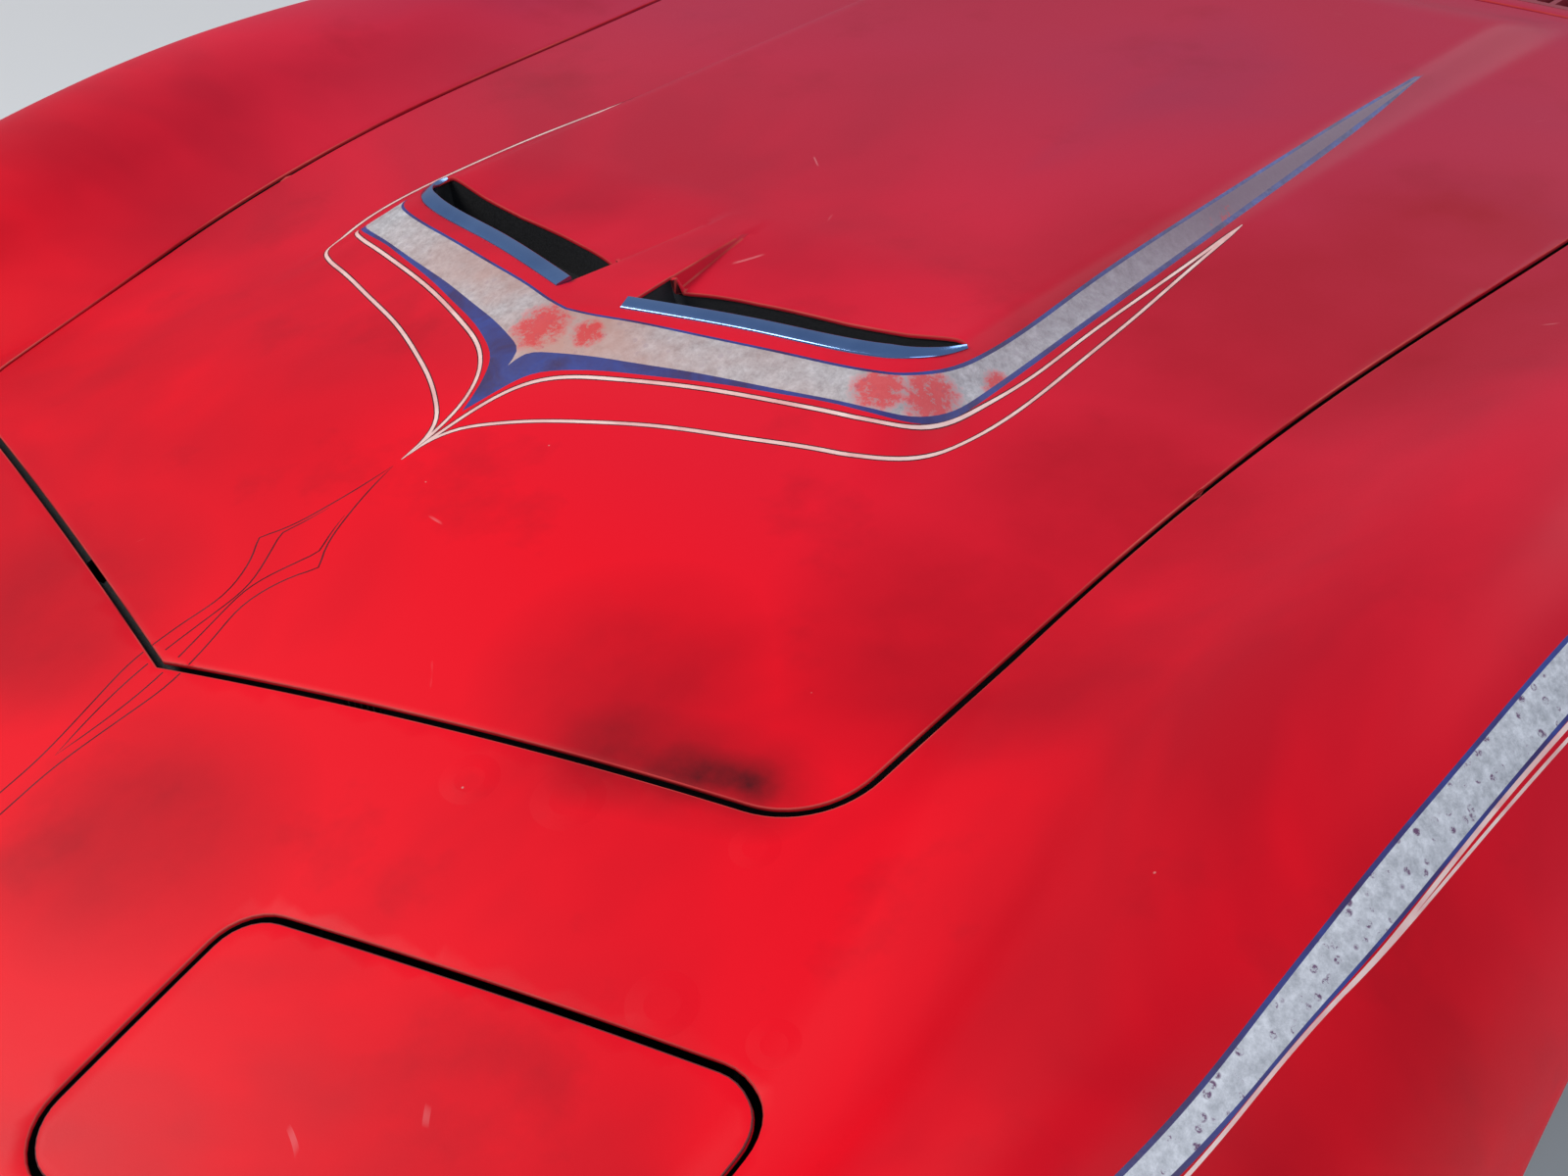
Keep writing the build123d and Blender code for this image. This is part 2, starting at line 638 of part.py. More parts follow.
# Headlamp bucket: a deep tray under the lid, with the stub pins of the lamp's pivot
v_angle = degrees(atan2(V_SLOPE, 1))
lamp_axis = Vector(cos(radians(v_angle)), sin(radians(v_angle)), 0)
lamp_mid_x = (LID_IN_X + LID_OUT_X) / 2
lamp_pivot = (
    Vector(lamp_mid_x, TIP_Y + LID_REAR_Y + V_SLOPE * lamp_mid_x, TIP_Z + LID_REAR_Z - LAMP_PIVOT_BELOW)
    + lamp_axis.rotate(Axis.Z, 90) * LAMP_PIVOT_BEHIND
    + lamp_axis * LAMP_SHIFT
)


def bucket_prism(grow, floor):
    """Upright prism round the lid and the lamp's pivot behind it, clear of the nose wall."""
    rear_in, rear_out, front_out, front_in = lid_corners(grow)
    behind = Vector(0, BUCKET_REAR + grow)
    corners = [Vector(*rear_in) + behind, Vector(*rear_out) + behind, Vector(*front_out), Vector(*front_in)]
    with BuildPart() as prism:
        with BuildSketch(plan_plane(floor)):
            with BuildLine():
                FilletPolyline(*corners, radius=LID_CORNER_R, close=True)
            make_face()
        extrude(amount=FAR)
        add(nose_form(WALL + BUCKET_NOSE_GAP + BUCKET_GROW - grow), mode=Mode.INTERSECT)
    return prism.part


def pivot_plane(along):
    """Plane square to the lamp's pivot, at a distance along it; x runs forwards and y down."""
    return Plane(origin=lamp_pivot + lamp_axis * along, x_dir=lamp_axis.rotate(Axis.Z, -90), z_dir=lamp_axis)


def lamp_plane(ahead):
    """Plane that the lamps face out of, at a distance ahead of the pivot."""
    facing = lamp_axis.rotate(Axis.Z, -90).rotate(Axis((0, 0, 0), lamp_axis), LAMP_TILT)
    return Plane(origin=lamp_pivot + facing * ahead, x_dir=lamp_axis, z_dir=facing)


with BuildPart() as headlamp_bucket_left:
    add(bucket_prism(BUCKET_GROW, BUCKET_FLOOR_Z))
    add(bucket_prism(BUCKET_GROW - BUCKET_WALL, BUCKET_FLOOR_Z + BUCKET_WALL), mode=Mode.SUBTRACT)
    for end in (-1, 1):
        with BuildSketch(pivot_plane(end * (LAMP_ARM_U - LAMP_ARM_WALL))):
            Circle(PIN_R)
        extrude(amount=end * PIN_REACH)
    add(bucket_prism(BUCKET_GROW, BUCKET_FLOOR_Z), mode=Mode.INTERSECT)
    add(form_inner, mode=Mode.INTERSECT)
headlamp_bucket_left.part.label = "headlamp_bucket_left"
export_step(headlamp_bucket_left.part, "parts/headlamp_bucket_left.step")

# Lamp carrier: bezel plate with two side arms that end in eyes on the stub pins
with BuildPart() as lamp_carrier_left:
    with BuildSketch(lamp_plane(LAMP_AHEAD)):
        with Locations((0, LAMP_ABOVE)):
            RectangleRounded(2 * LAMP_ARM_U, 2 * (LAMP_R + LAMP_BEZEL_RIM), OPENING_R)
        with Locations((-LAMP_SPAN / 2, LAMP_ABOVE), (LAMP_SPAN / 2, LAMP_ABOVE)):
            Circle(LAMP_R, mode=Mode.SUBTRACT)
    extrude(amount=-BEZEL_WALL)
    for end in (-1, 1):
        with BuildSketch(pivot_plane(end * LAMP_ARM_U)):
            with BuildLine():
                FilletPolyline(*LAMP_ARM_OUTLINE, radius=ARM_CORNER_R, close=True)
            make_face()
            Circle(EYE_R)
            Circle(PIN_R + PIN_CLEARANCE, mode=Mode.SUBTRACT)
        extrude(amount=-end * LAMP_ARM_WALL)
    add(form_inner, mode=Mode.INTERSECT)
lamp_carrier_left.part.label = "lamp_carrier_left"
export_step(lamp_carrier_left.part, "parts/lamp_carrier_left.step")

with BuildPart() as headlamps_left:
    with BuildSketch(lamp_plane(LAMP_AHEAD - BEZEL_WALL)):
        with Locations((-LAMP_SPAN / 2, LAMP_ABOVE), (LAMP_SPAN / 2, LAMP_ABOVE)):
            Circle(LAMP_R)
    extrude(amount=-LAMP_LENGTH + BEZEL_WALL, taper=LAMP_TAPER)
    with BuildSketch(lamp_plane(LAMP_AHEAD - BEZEL_WALL)):
        with Locations((-LAMP_SPAN / 2, LAMP_ABOVE), (LAMP_SPAN / 2, LAMP_ABOVE)):
            Circle(LAMP_R - SEAT_GAP)
    extrude(amount=BEZEL_WALL + LAMP_PROUD)
headlamps_left.part.label = "headlamps_left"
export_step(headlamps_left.part, "parts/headlamps_left.step")

# Front bumper blade, seated on the nose wall
with BuildPart() as front_bumper:
    add(nose_form(-BUMPER_DEPTH))
    add(slab(-FAR, FAR, -FAR, BUMPER_END_Y, BUMPER_LOW_Z, BUMPER_HIGH_Z), mode=Mode.INTERSECT)
    add(nose_form(), mode=Mode.SUBTRACT)
front_bumper.part.label = "front_bumper"
export_step(front_bumper.part, "parts/front_bumper.step")

# Grille and turn lamp of the left side, set into the valance's openings
with BuildPart() as grille_left:
    add(nose_form(GRILLE_SET_IN))
    add(nose_form(GRILLE_SET_IN + GRILLE_DEPTH), mode=Mode.SUBTRACT)
    with BuildPart(mode=Mode.PRIVATE) as grille_pattern:
        with BuildSketch(Plane.XZ.offset(-TIP_Y)):
            with Locations(((GRILLE_IN_X + GRILLE_OUT_X) / 2, grille_mid_z)):
                grille_w = GRILLE_OUT_X - GRILLE_IN_X - 2 * SEAT_GAP
                grille_h = GRILLE_HIGH_Z - GRILLE_LOW_Z - 2 * SEAT_GAP
                RectangleRounded(grille_w, grille_h, OPENING_R)
                Rectangle(grille_w - 2 * GRILLE_RIM, grille_h - 2 * GRILLE_RIM, mode=Mode.SUBTRACT)
                with GridLocations(0, grille_h / GRILLE_BARS, 1, GRILLE_BARS - 1):
                    Rectangle(grille_w - GRILLE_RIM, GRILLE_BAR_HEIGHT)
        extrude(amount=FAR)
    add(grille_pattern.part, mode=Mode.INTERSECT)
grille_left.part.label = "grille_left"
export_step(grille_left.part, "parts/grille_left.step")

with BuildPart() as turn_lamp_left:
    add(nose_form(-TURN_LAMP_PROUD))
    add(nose_form(TURN_LAMP_DEPTH), mode=Mode.SUBTRACT)
    with BuildPart(mode=Mode.PRIVATE) as turn_lamp_block:
        with BuildSketch(Plane.XZ.offset(-TIP_Y)):
            with Locations(((LAMP_IN_X + LAMP_OUT_X) / 2, grille_mid_z)):
                turn_lamp_w = LAMP_OUT_X - LAMP_IN_X - 2 * SEAT_GAP
                RectangleRounded(turn_lamp_w, turn_lamp_height - 2 * SEAT_GAP, OPENING_R)
        extrude(amount=FAR)
    add(turn_lamp_block.part, mode=Mode.INTERSECT)
turn_lamp_left.part.label = "turn_lamp_left"
export_step(turn_lamp_left.part, "parts/turn_lamp_left.step")

# Radiator support: frame round the radiator with baffles out to the wheelhouses
support_x = RADIATOR_X + FRAME_BAR
support_front, support_rear = RADIATOR_Y - SUPPORT_DEPTH / 2, RADIATOR_Y + SUPPORT_DEPTH / 2
support_low, support_high = RADIATOR_LOW_Z - FRAME_WALL, RADIATOR_HIGH_Z + FRAME_BAR
with BuildPart() as radiator_support:
    add(slab(-support_x, support_x, support_front, support_rear, support_low, support_high))
    add(slab(-RADIATOR_X, RADIATOR_X, 0, 2 * RADIATOR_Y, RADIATOR_LOW_Z, RADIATOR_HIGH_Z), mode=Mode.SUBTRACT)
    for side in (-1, 1):
        x0, x1 = sorted((side * RADIATOR_X, side * WHEELHOUSE_X))
        add(slab(x0, x1, support_rear - FRAME_WALL, support_rear, support_low, BAFFLE_HIGH_Z))
        with Locations((side * FRAME_MOUNT_X, TIP_Y + RADIATOR_Y, TIP_Z + RADIATOR_LOW_Z)):
            Cylinder(FRAME_MOUNT_R, 4 * FRAME_WALL, mode=Mode.SUBTRACT)
radiator_support.part.label = "radiator_support"
export_step(radiator_support.part, "parts/radiator_support.step")

with BuildPart() as radiator:
    add(slab(-RADIATOR_X + SEAT_GAP, RADIATOR_X - SEAT_GAP, RADIATOR_Y - RADIATOR_THICK / 2,
             RADIATOR_Y + RADIATOR_THICK / 2, RADIATOR_LOW_Z + RADIATOR_FOOT, RADIATOR_HIGH_Z - SEAT_GAP))
radiator.part.label = "radiator"
export_step(radiator.part, "parts/radiator.step")

# Bonnet hinges: fixed brackets with pins, and gooseneck arms under the frame
hinge_y, hinge_z = -HINGE_AHEAD, -HINGE_BELOW
bracket_x = HINGE_X + HINGE_ARM_WIDTH / 2 + HINGE_SIDE_GAP
with BuildPart() as hinge_brackets:
    for side in (-1, 1):
        with BuildSketch(across(side * bracket_x, hinge_y, hinge_z)):
            with BuildLine():
                FilletPolyline(*BRACKET_OUTLINE, radius=PIN_R, close=True)
            make_face()
        extrude(amount=side * BRACKET_WALL)
        with BuildSketch(across(side * bracket_x, hinge_y, hinge_z)):
            Circle(PIN_R)
        extrude(amount=-side * (HINGE_ARM_WIDTH + 2 * HINGE_SIDE_GAP))
hinge_brackets.part.label = "hinge_brackets"
export_step(hinge_brackets.part, "parts/hinge_brackets.step")

with BuildPart() as hinge_arms:
    for side in (-1, 1):
        with BuildSketch(across(side * (HINGE_X - HINGE_ARM_WIDTH / 2), hinge_y, hinge_z)):
            with BuildLine():
                FilletPolyline(*HINGE_ARM_OUTLINE, radius=ARM_CORNER_R, close=True)
            make_face()
            Circle(EYE_R)
            Circle(PIN_R + PIN_CLEARANCE, mode=Mode.SUBTRACT)
        extrude(amount=side * HINGE_ARM_WIDTH)
    add(Pos(0, 0, -FRAME_DEPTH) * form_inner, mode=Mode.INTERSECT)
hinge_arms.part.label = "hinge_arms"
export_step(hinge_arms.part, "parts/hinge_arms.step")

# Chrome lips along the front of the scoops
with BuildPart() as scoop_lip_left:
    with BuildSketch(dome_plane(DOME_TOP_Z, DOME_TOP_Y, DOME_TOP_SLOPE)):
        with BuildLine():
            side_x = SCOOP_OUT_X + LIP_WIDTH / 2
            front_y = SCOOP_FRONT_Y - LIP_WIDTH / 2
            start = (SCOOP_IN_X, front_y + SCOOP_SLOPE * SCOOP_IN_X)
            corner = (side_x, front_y + SCOOP_SLOPE * side_x)
            end = (side_x, corner[1] + LIP_RETURN)
            FilletPolyline(start, corner, end, radius=SCOOP_CORNER_R + LIP_WIDTH / 2)
        trace(line_width=LIP_WIDTH)
    extrude(amount=LIP_HEIGHT)
scoop_lip_left.part.label = "scoop_lip_left"
export_step(scoop_lip_left.part, "parts/scoop_lip_left.step")

# Side vent: louvre blades in a frame behind the wheel
with BuildPart() as side_vent_left:
    add(form_outer)
    vent_h = VENT_HIGH_Z - VENT_LOW_Z
    vent_w = VENT_REAR_Y - VENT_FRONT_Y
    with BuildPart(mode=Mode.PRIVATE) as vent_pattern:
        with BuildSketch(across(FLANK_X, (VENT_FRONT_Y + VENT_REAR_Y) / 2, (VENT_LOW_Z + VENT_HIGH_Z) / 2)):
            Rectangle(vent_w - 2 * SEAT_GAP, vent_h - 2 * SEAT_GAP)
            Rectangle(vent_w - 2 * VENT_RIM, vent_h - 2 * VENT_RIM, mode=Mode.SUBTRACT)
            with GridLocations(vent_w / VENT_BLADES, 0, VENT_BLADES - 1, 1):
                Rectangle(VENT_BLADE_WIDTH, vent_h - VENT_RIM)
        extrude(amount=FAR)
    add(vent_pattern.part, mode=Mode.INTERSECT)
    add(Pos(-VENT_DEPTH, 0, 0) * form_outer, mode=Mode.SUBTRACT)
side_vent_left.part.label = "side_vent_left"
export_step(side_vent_left.part, "parts/side_vent_left.step")

# Bonnet catches: striker pins on the frame, sockets on arms from the bulkhead
with BuildPart() as bonnet_strikers:
    for side in (-1, 1):
        with Locations((side * STRIKER_X, TIP_Y + STRIKER_Y, TIP_Z + STRIKER_LOW_Z)):
            Cylinder(STRIKER_R, FAR, align=(Align.CENTER, Align.CENTER, Align.MIN))
    add(Pos(0, 0, -FRAME_DEPTH) * bay.part, mode=Mode.INTERSECT)
bonnet_strikers.part.label = "bonnet_strikers"
export_step(bonnet_strikers.part, "parts/bonnet_strikers.step")

with BuildPart() as bonnet_catches:
    for side in (-1, 1):
        x = side * STRIKER_X
        low, high = STRIKER_LOW_Z - CATCH_BELOW, STRIKER_LOW_Z + CATCH_ABOVE
        rear = -TIP_Y - BULKHEAD_WALL
        add(slab(x - CATCH_HALF, x + CATCH_HALF, STRIKER_Y - CATCH_HALF, rear, low, high))
        with Locations((x, TIP_Y + STRIKER_Y, TIP_Z + STRIKER_LOW_Z)):
            Cylinder(STRIKER_R + CATCH_CLEARANCE, 4 * CATCH_HALF, mode=Mode.SUBTRACT)
bonnet_catches.part.label = "bonnet_catches"
export_step(bonnet_catches.part, "parts/bonnet_catches.step")

for left in (wing_left, wheelhouse_left, headlamp_lid_left, headlamp_bucket_left, lamp_carrier_left,
             headlamps_left, grille_left, turn_lamp_left, scoop_lip_left, side_vent_left):
    name = left.part.label.replace("left", "right")
    with BuildPart() as right:
        mirror(left.part, about=Plane.YZ)
    right.part.label = name
    export_step(right.part, f"parts/{name}.step")
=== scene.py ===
import json
import math
from functools import cached_property

import bpy
import numpy as np
from mathutils import Matrix, Vector
from mathutils.geometry import delaunay_2d_cdt


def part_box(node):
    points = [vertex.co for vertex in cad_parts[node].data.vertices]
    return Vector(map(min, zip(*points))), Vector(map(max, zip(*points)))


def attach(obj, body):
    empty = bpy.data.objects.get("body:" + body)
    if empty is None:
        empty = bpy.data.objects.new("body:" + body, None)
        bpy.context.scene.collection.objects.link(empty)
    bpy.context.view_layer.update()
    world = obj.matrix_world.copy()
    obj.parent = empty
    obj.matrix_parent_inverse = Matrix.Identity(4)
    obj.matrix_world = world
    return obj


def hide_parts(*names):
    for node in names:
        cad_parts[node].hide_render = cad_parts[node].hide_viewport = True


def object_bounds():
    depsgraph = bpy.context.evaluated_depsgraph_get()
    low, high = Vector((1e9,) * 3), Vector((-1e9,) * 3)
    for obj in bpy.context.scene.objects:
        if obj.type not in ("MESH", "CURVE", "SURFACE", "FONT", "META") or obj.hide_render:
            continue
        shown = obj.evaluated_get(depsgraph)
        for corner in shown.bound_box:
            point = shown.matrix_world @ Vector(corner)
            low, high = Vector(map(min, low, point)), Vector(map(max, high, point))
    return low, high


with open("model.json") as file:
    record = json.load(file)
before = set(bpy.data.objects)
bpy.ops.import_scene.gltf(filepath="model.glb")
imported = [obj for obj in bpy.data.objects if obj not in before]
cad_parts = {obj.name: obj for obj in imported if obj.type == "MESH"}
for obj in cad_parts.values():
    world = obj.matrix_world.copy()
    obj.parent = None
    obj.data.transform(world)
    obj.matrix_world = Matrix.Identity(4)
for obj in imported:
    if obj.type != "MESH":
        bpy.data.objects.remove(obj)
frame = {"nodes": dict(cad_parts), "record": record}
cad_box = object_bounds()

# The body's form, in mm from the bonnet's tip: x to the car's left, y to its rear, z up.
TIP = Vector((0, -1.560, 0.240))
STATIONS = (
    (-460, -165, 430, -200, -0.02, 610, -150, 0.05, 680, -190, 745, -290, 700),
    (-230, -78, 525, -130, 0.02, 675, -60, 0.05, 748, -90, 815, -197, 782),
    (0, 0, 560, -44, 0.06, 735, 30, 0.02, 800, -2, 858, -130, 812),
    (260, 79, 500, 40, 0.12, 738, 111, -0.04, 802, 86, 875, -80, 830),
    (560, 121, 506, 105, 0.16, 735, 165, -0.05, 800, 137, 876, -80, 826),
    (900, 148, 525, 132, 0.06, 735, 166, -0.08, 800, 137, 870, -86, 819),
    (1260, 168, 546, 153, -0.02, 735, 150, -0.16, 798, 119, 865, -96, 814),
    (1450, 176, 556, 161, -0.05, 735, 142, -0.19, 797, 110, 863, -98, 813),
    (1640, 182, 567, 168, -0.08, 735, 132, -0.22, 797, 100, 862, -100, 812),
)
FOOT_Z = -510.0
V_SLOPE = 0.28
CROWN_COUNT, ARC_COUNT = 60, 20


def unit(x, z):
    length = math.hypot(x, z)
    return np.array((x / length, z / length))


def arc_points(start, direction, end, count):
    """Points along the arc that leaves start in a direction and passes through end."""
    chord = end - start
    cross = direction[0] * chord[1] - direction[1] * chord[0]
    half = math.atan2(cross, direction @ chord)
    t = np.linspace(0, 1, count + 1)[1:, None]
    if abs(half) < 1e-6:
        return start + chord * t
    radius = np.hypot(*chord) / (2 * math.sin(half))
    turn = 2 * half * t
    normal = np.array((-direction[1], direction[0]))
    return start + radius * (np.sin(turn) * direction + (1 - np.cos(turn)) * normal)


def biarc_points(p0, d0, p1, d1, count):
    """Points along two arcs that join smoothly between two points and their directions."""
    v, t = p1 - p0, d0 + d1
    spread = 2 * (1 - d0 @ d1)
    along, chord = v @ t, v @ v
    if spread < 1e-6:
        reach = chord / (2 * along)
    else:
        reach = (math.sqrt(along * along + spread * chord) - along) / spread
    first, last = p0 + reach * d0, p1 - reach * d1
    middle = (first + last) / 2
    return np.vstack((arc_points(p0, d0, middle, count),
                      arc_points(middle, unit(*(last - first)), p1, count)))


def section_points(row):
    """Left half of one body section, from the centre line to the foot."""
    (_, centre_z, seam_x, seam_z, seam_slope, crest_x, crest_z, crest_slope,
     shoulder_x, shoulder_z, waist_x, waist_z, foot_x) = row
    knots = (
        ((seam_x, seam_z), unit(1, seam_slope)),
        ((crest_x, crest_z), unit(1, crest_slope)),
        ((shoulder_x, shoulder_z), unit(1, -0.95)),
        ((waist_x, waist_z), unit(0, -1)),
        ((foot_x, FOOT_Z), unit(-0.22, -1)),
    )
    centre = np.array((0.0, centre_z))
    parts = [centre[None],
             arc_points(centre, unit(1, 0), np.array(knots[0][0], float), CROWN_COUNT)]
    for (p0, d0), (p1, d1) in zip(knots, knots[1:]):
        parts.append(biarc_points(np.array(p0, float), d0, np.array(p1, float), d1, ARC_COUNT))
    return np.vstack(parts)


def lengths(line):
    """Length along a line up to each of its points."""
    return np.append(0, np.cumsum(np.hypot(*np.diff(line, axis=0).T)))


def spline_bends(knots, values):
    """Second derivatives of the natural cubic spline through the values."""
    n = len(knots)
    h = np.diff(knots)
    a = np.eye(n)
    b = np.zeros((n,) + values.shape[1:])
    for i in range(1, n - 1):
        a[i, i - 1:i + 2] = h[i - 1], 2 * (h[i - 1] + h[i]), h[i]
        b[i] = 6 * ((values[i + 1] - values[i]) / h[i] - (values[i] - values[i - 1]) / h[i - 1])
    return np.linalg.solve(a, b.reshape(n, -1)).reshape(b.shape)


def spline_value(b, h, p0, p1, m0, m1):
    """The spline at share b of a span h, from its values and bends at both ends."""
    a = 1 - b
    return a * p0 + b * p1 + ((a ** 3 - a) * m0 + (b ** 3 - b) * m1) * h ** 2 / 6


def span_of(knots, s):
    """Index of the span that holds each value."""
    return np.clip(np.searchsorted(knots, s, side="right") - 1, 0, len(knots) - 2)


SECTION_Y = np.array([row[0] for row in STATIONS], float)
SECTIONS = np.array([section_points(row) for row in STATIONS])
BENDS = spline_bends(SECTION_Y, SECTIONS)
WHEEL_STATION = 4
U_KNOTS = lengths(SECTIONS[WHEEL_STATION])
SEAM_U, CREST_U, SHOULDER_U, WAIST_U, FOOT_U = (
    U_KNOTS[CROWN_COUNT + 2 * ARC_COUNT * i] for i in range(5))


def body_xz(u, y):
    """x and z of the body's form at girth u and station y, both arrays in mm."""
    u, y = np.broadcast_arrays(np.asarray(u, float), np.asarray(y, float))
    i, k = span_of(U_KNOTS, u), span_of(SECTION_Y, y)
    f = ((u - U_KNOTS[i]) / (U_KNOTS[i + 1] - U_KNOTS[i]))[..., None]
    h = (SECTION_Y[k + 1] - SECTION_Y[k])[..., None]
    b = (y - SECTION_Y[k])[..., None] / h
    ends = (rows[j, i] * (1 - f) + rows[j, i + 1] * f for rows in (SECTIONS, BENDS) for j in (k, k + 1))
    p = spline_value(b, h, *ends)
    return p[..., 0], p[..., 1]


def solve_u(y, low, high, axis, value):
    """Girth between low and high at which x (axis 0) or z (axis 1) takes a value."""
    y, value = np.broadcast_arrays(np.asarray(y, float), np.asarray(value, float))
    lo, hi = np.full(y.shape, float(low)), np.full(y.shape, float(high))
    rising = 1 if axis == 0 else -1
    for _ in range(34):
        mid = (lo + hi) / 2
        below = (body_xz(mid, y)[axis] - value) * rising < 0
        lo, hi = np.where(below, mid, lo), np.where(below, hi, mid)
    return (lo + hi) / 2


def u_of_x(x, y):
    return solve_u(y, 0, WAIST_U, 0, np.abs(x))


def u_of_z(z, y):
    return solve_u(y, CREST_U, FOOT_U, 1, z)


def body_z(x, y):
    return body_xz(u_of_x(x, y), y)[1]


# The dome's flat top and the foot of its sides, with their rise per mm towards the rear
DOME_TOP_X, DOME_TOP_Y, DOME_TOP_Z = 284.0, 385.0, 132.0
DOME_TOP_SLOPE, DOME_TOP_REAR_Y = 0.0594, 1330.0
DOME_FOOT_X, DOME_FOOT_Y, DOME_FOOT_Z = 390.0, 128.0, 12.0
DOME_FOOT_SLOPE, DOME_FOOT_REAR_Y = 0.085, 1560.0
FRONT_BLEND, REAR_BLEND, TOP_BLEND, FOOT_BLEND = 26, 10, 7, 9
SCOOP_END_Y = 612.0
RIDGE_EDGE = ((34, 426), (15, 614))
# Depth of the scoop's floor at its leading edge, by distance from the centre line
FLOOR_DEPTH = ((0, 38, 99, 181, 235, 268, 287), (13.0, 13.0, 13.0, 11.0, 7.0, 2.0, 0.0))


def soft_min(a, b, radius):
    k = np.maximum(radius - np.abs(a - b), 0) / radius
    return np.minimum(a, b) - k * k * radius / 4


def soft_max(a, b, radius):
    return -soft_min(-a, -b, radius)


def dome_top_z(y):
    return DOME_TOP_Z + DOME_TOP_SLOPE * (y - DOME_TOP_Y)


def dome_foot_z(y):
    return DOME_FOOT_Z + DOME_FOOT_SLOPE * (y - DOME_FOOT_Y)


def dome_z(x, y):
    x = np.abs(x)
    top, foot = dome_top_z(y), dome_foot_z(y)
    side = top - (top - foot) * (x - DOME_TOP_X) / (DOME_FOOT_X - DOME_TOP_X)
    front_drop = (DOME_TOP_Z - DOME_FOOT_Z) / (DOME_TOP_Y - DOME_FOOT_Y)
    front = DOME_TOP_Z + DOME_TOP_SLOPE * V_SLOPE * x - front_drop * (DOME_TOP_Y - y + V_SLOPE * x)
    rear_top, rear_foot = dome_top_z(DOME_TOP_REAR_Y), dome_foot_z(DOME_FOOT_REAR_Y)
    rear_run = DOME_FOOT_REAR_Y - DOME_TOP_REAR_Y
    rear = rear_top - (rear_top - rear_foot) * (y - DOME_TOP_REAR_Y) / rear_run
    flanks = soft_min(soft_min(side, front, FRONT_BLEND), rear, REAR_BLEND)
    return soft_min(flanks, top, TOP_BLEND)


def dome_skin_z(x, y):
    return soft_max(body_z(x, y), dome_z(x, y), FOOT_BLEND)


# Mouth of the left scoop: its edge under the lip, and the leading edge of its floor
MOUTH_FRONT = ((34, 426), (92, 440), (142, 452), (194, 461), (242, 472), (268, 486), (281, 502),
               (287, 521))
FLOOR_LEAD = ((28, 478), (38, 483), (99, 501), (181, 510), (235, 515), (268, 519), (287, 521))


def lead_y(x):
    """Where the scoop's floor begins, at a distance from the centre line."""
    return np.interp(x, *np.array(FLOOR_LEAD, float).T)


def scoop_drop(x, y):
    """How far the scoop's floor lies below the dome's top."""
    fade = np.clip((SCOOP_END_Y - y) / (SCOOP_END_Y - lead_y(x)), 0, 1.1)
    return np.interp(x, *FLOOR_DEPTH) * fade * fade * (3 - 2 * np.minimum(fade, 1)) ** 0.5


# Outlines
def rounded(corners, radii, step=7.0, closed=False):
    """Points along a polyline whose corners are rounded by arcs."""
    points = []
    n = len(corners)
    for i, (corner, radius) in enumerate(zip(corners, radii)):
        p = np.array(corner, float)
        if radius <= 0 or (not closed and i in (0, n - 1)):
            points.append(p)
            continue
        a = np.array(corners[i - 1], float) - p
        b = np.array(corners[(i + 1) % n], float) - p
        a, b = a / np.hypot(*a), b / np.hypot(*b)
        half = math.acos(np.clip(a @ b, -1, 1)) / 2
        reach = radius / math.tan(half)
        centre = p + (a + b) / np.hypot(*(a + b)) * radius / math.sin(half)
        start, end = p + a * reach - centre, p + b * reach - centre
        t0 = math.atan2(start[1], start[0])
        turn = (math.atan2(end[1], end[0]) - t0 + math.pi) % (2 * math.pi) - math.pi
        count = max(3, math.ceil(abs(turn) * radius / min(step, radius / 2)))
        for k in range(count + 1):
            t = t0 + turn * k / count
            points.append(centre + radius * np.array((math.cos(t), math.sin(t))))
    if closed:
        points.append(points[0])
    dense = []
    for p, q in zip(points, points[1:]):
        count = max(1, round(np.hypot(*(q - p)) / step))
        dense.extend(p + (q - p) * k / count for k in range(count))
    if not closed:
        dense.append(points[-1])
    return np.array(dense)


def straight(a, b, step=8.0):
    return rounded([a, b], (0, 0), step)


def smooth_line(points, step=6.0):
    """A smooth curve through a few points, as evenly spaced points."""
    p = np.array(points, float)
    t = lengths(p)
    bends = spline_bends(t, p)
    s = np.linspace(0, t[-1], max(2, round(t[-1] / step)) + 1)
    k = span_of(t, s)
    h = (t[k + 1] - t[k])[:, None]
    b = (s - t[k])[:, None] / h
    return spline_value(b, h, p[k], p[k + 1], bends[k], bends[k + 1])


def left_of(d):
    """Unit vectors square to the given directions, to their left."""
    d = d / np.maximum(np.hypot(*d.T), 1e-9)[:, None]
    return np.stack((-d[:, 1], d[:, 0]), 1)


def beside(line, distance):
    """The line moved sideways, to the left of its direction; distance may vary along it."""
    line = np.asarray(line, float)
    distance = np.broadcast_to(distance, len(line))[:, None]
    return line + left_of(np.gradient(line, axis=0)) * distance


def closed_beside(line, distance):
    """A closed line moved sideways all round."""
    return line + left_of(np.roll(line, -1, axis=0) - np.roll(line, 1, axis=0)) * distance


def ring(left, right):
    """Outline of the band between two lines."""
    return np.vstack((left, right[::-1]))


def loop(points):
    return np.vstack((points, points[:1]))


def chained(*lines):
    """Lines joined end to end, each without its last point."""
    return np.vstack([line[:-1] for line in lines])


def grid_points(across, along):
    gx, gy = np.meshgrid(across, along)
    return np.stack((gx.ravel(), gy.ravel()), 1)


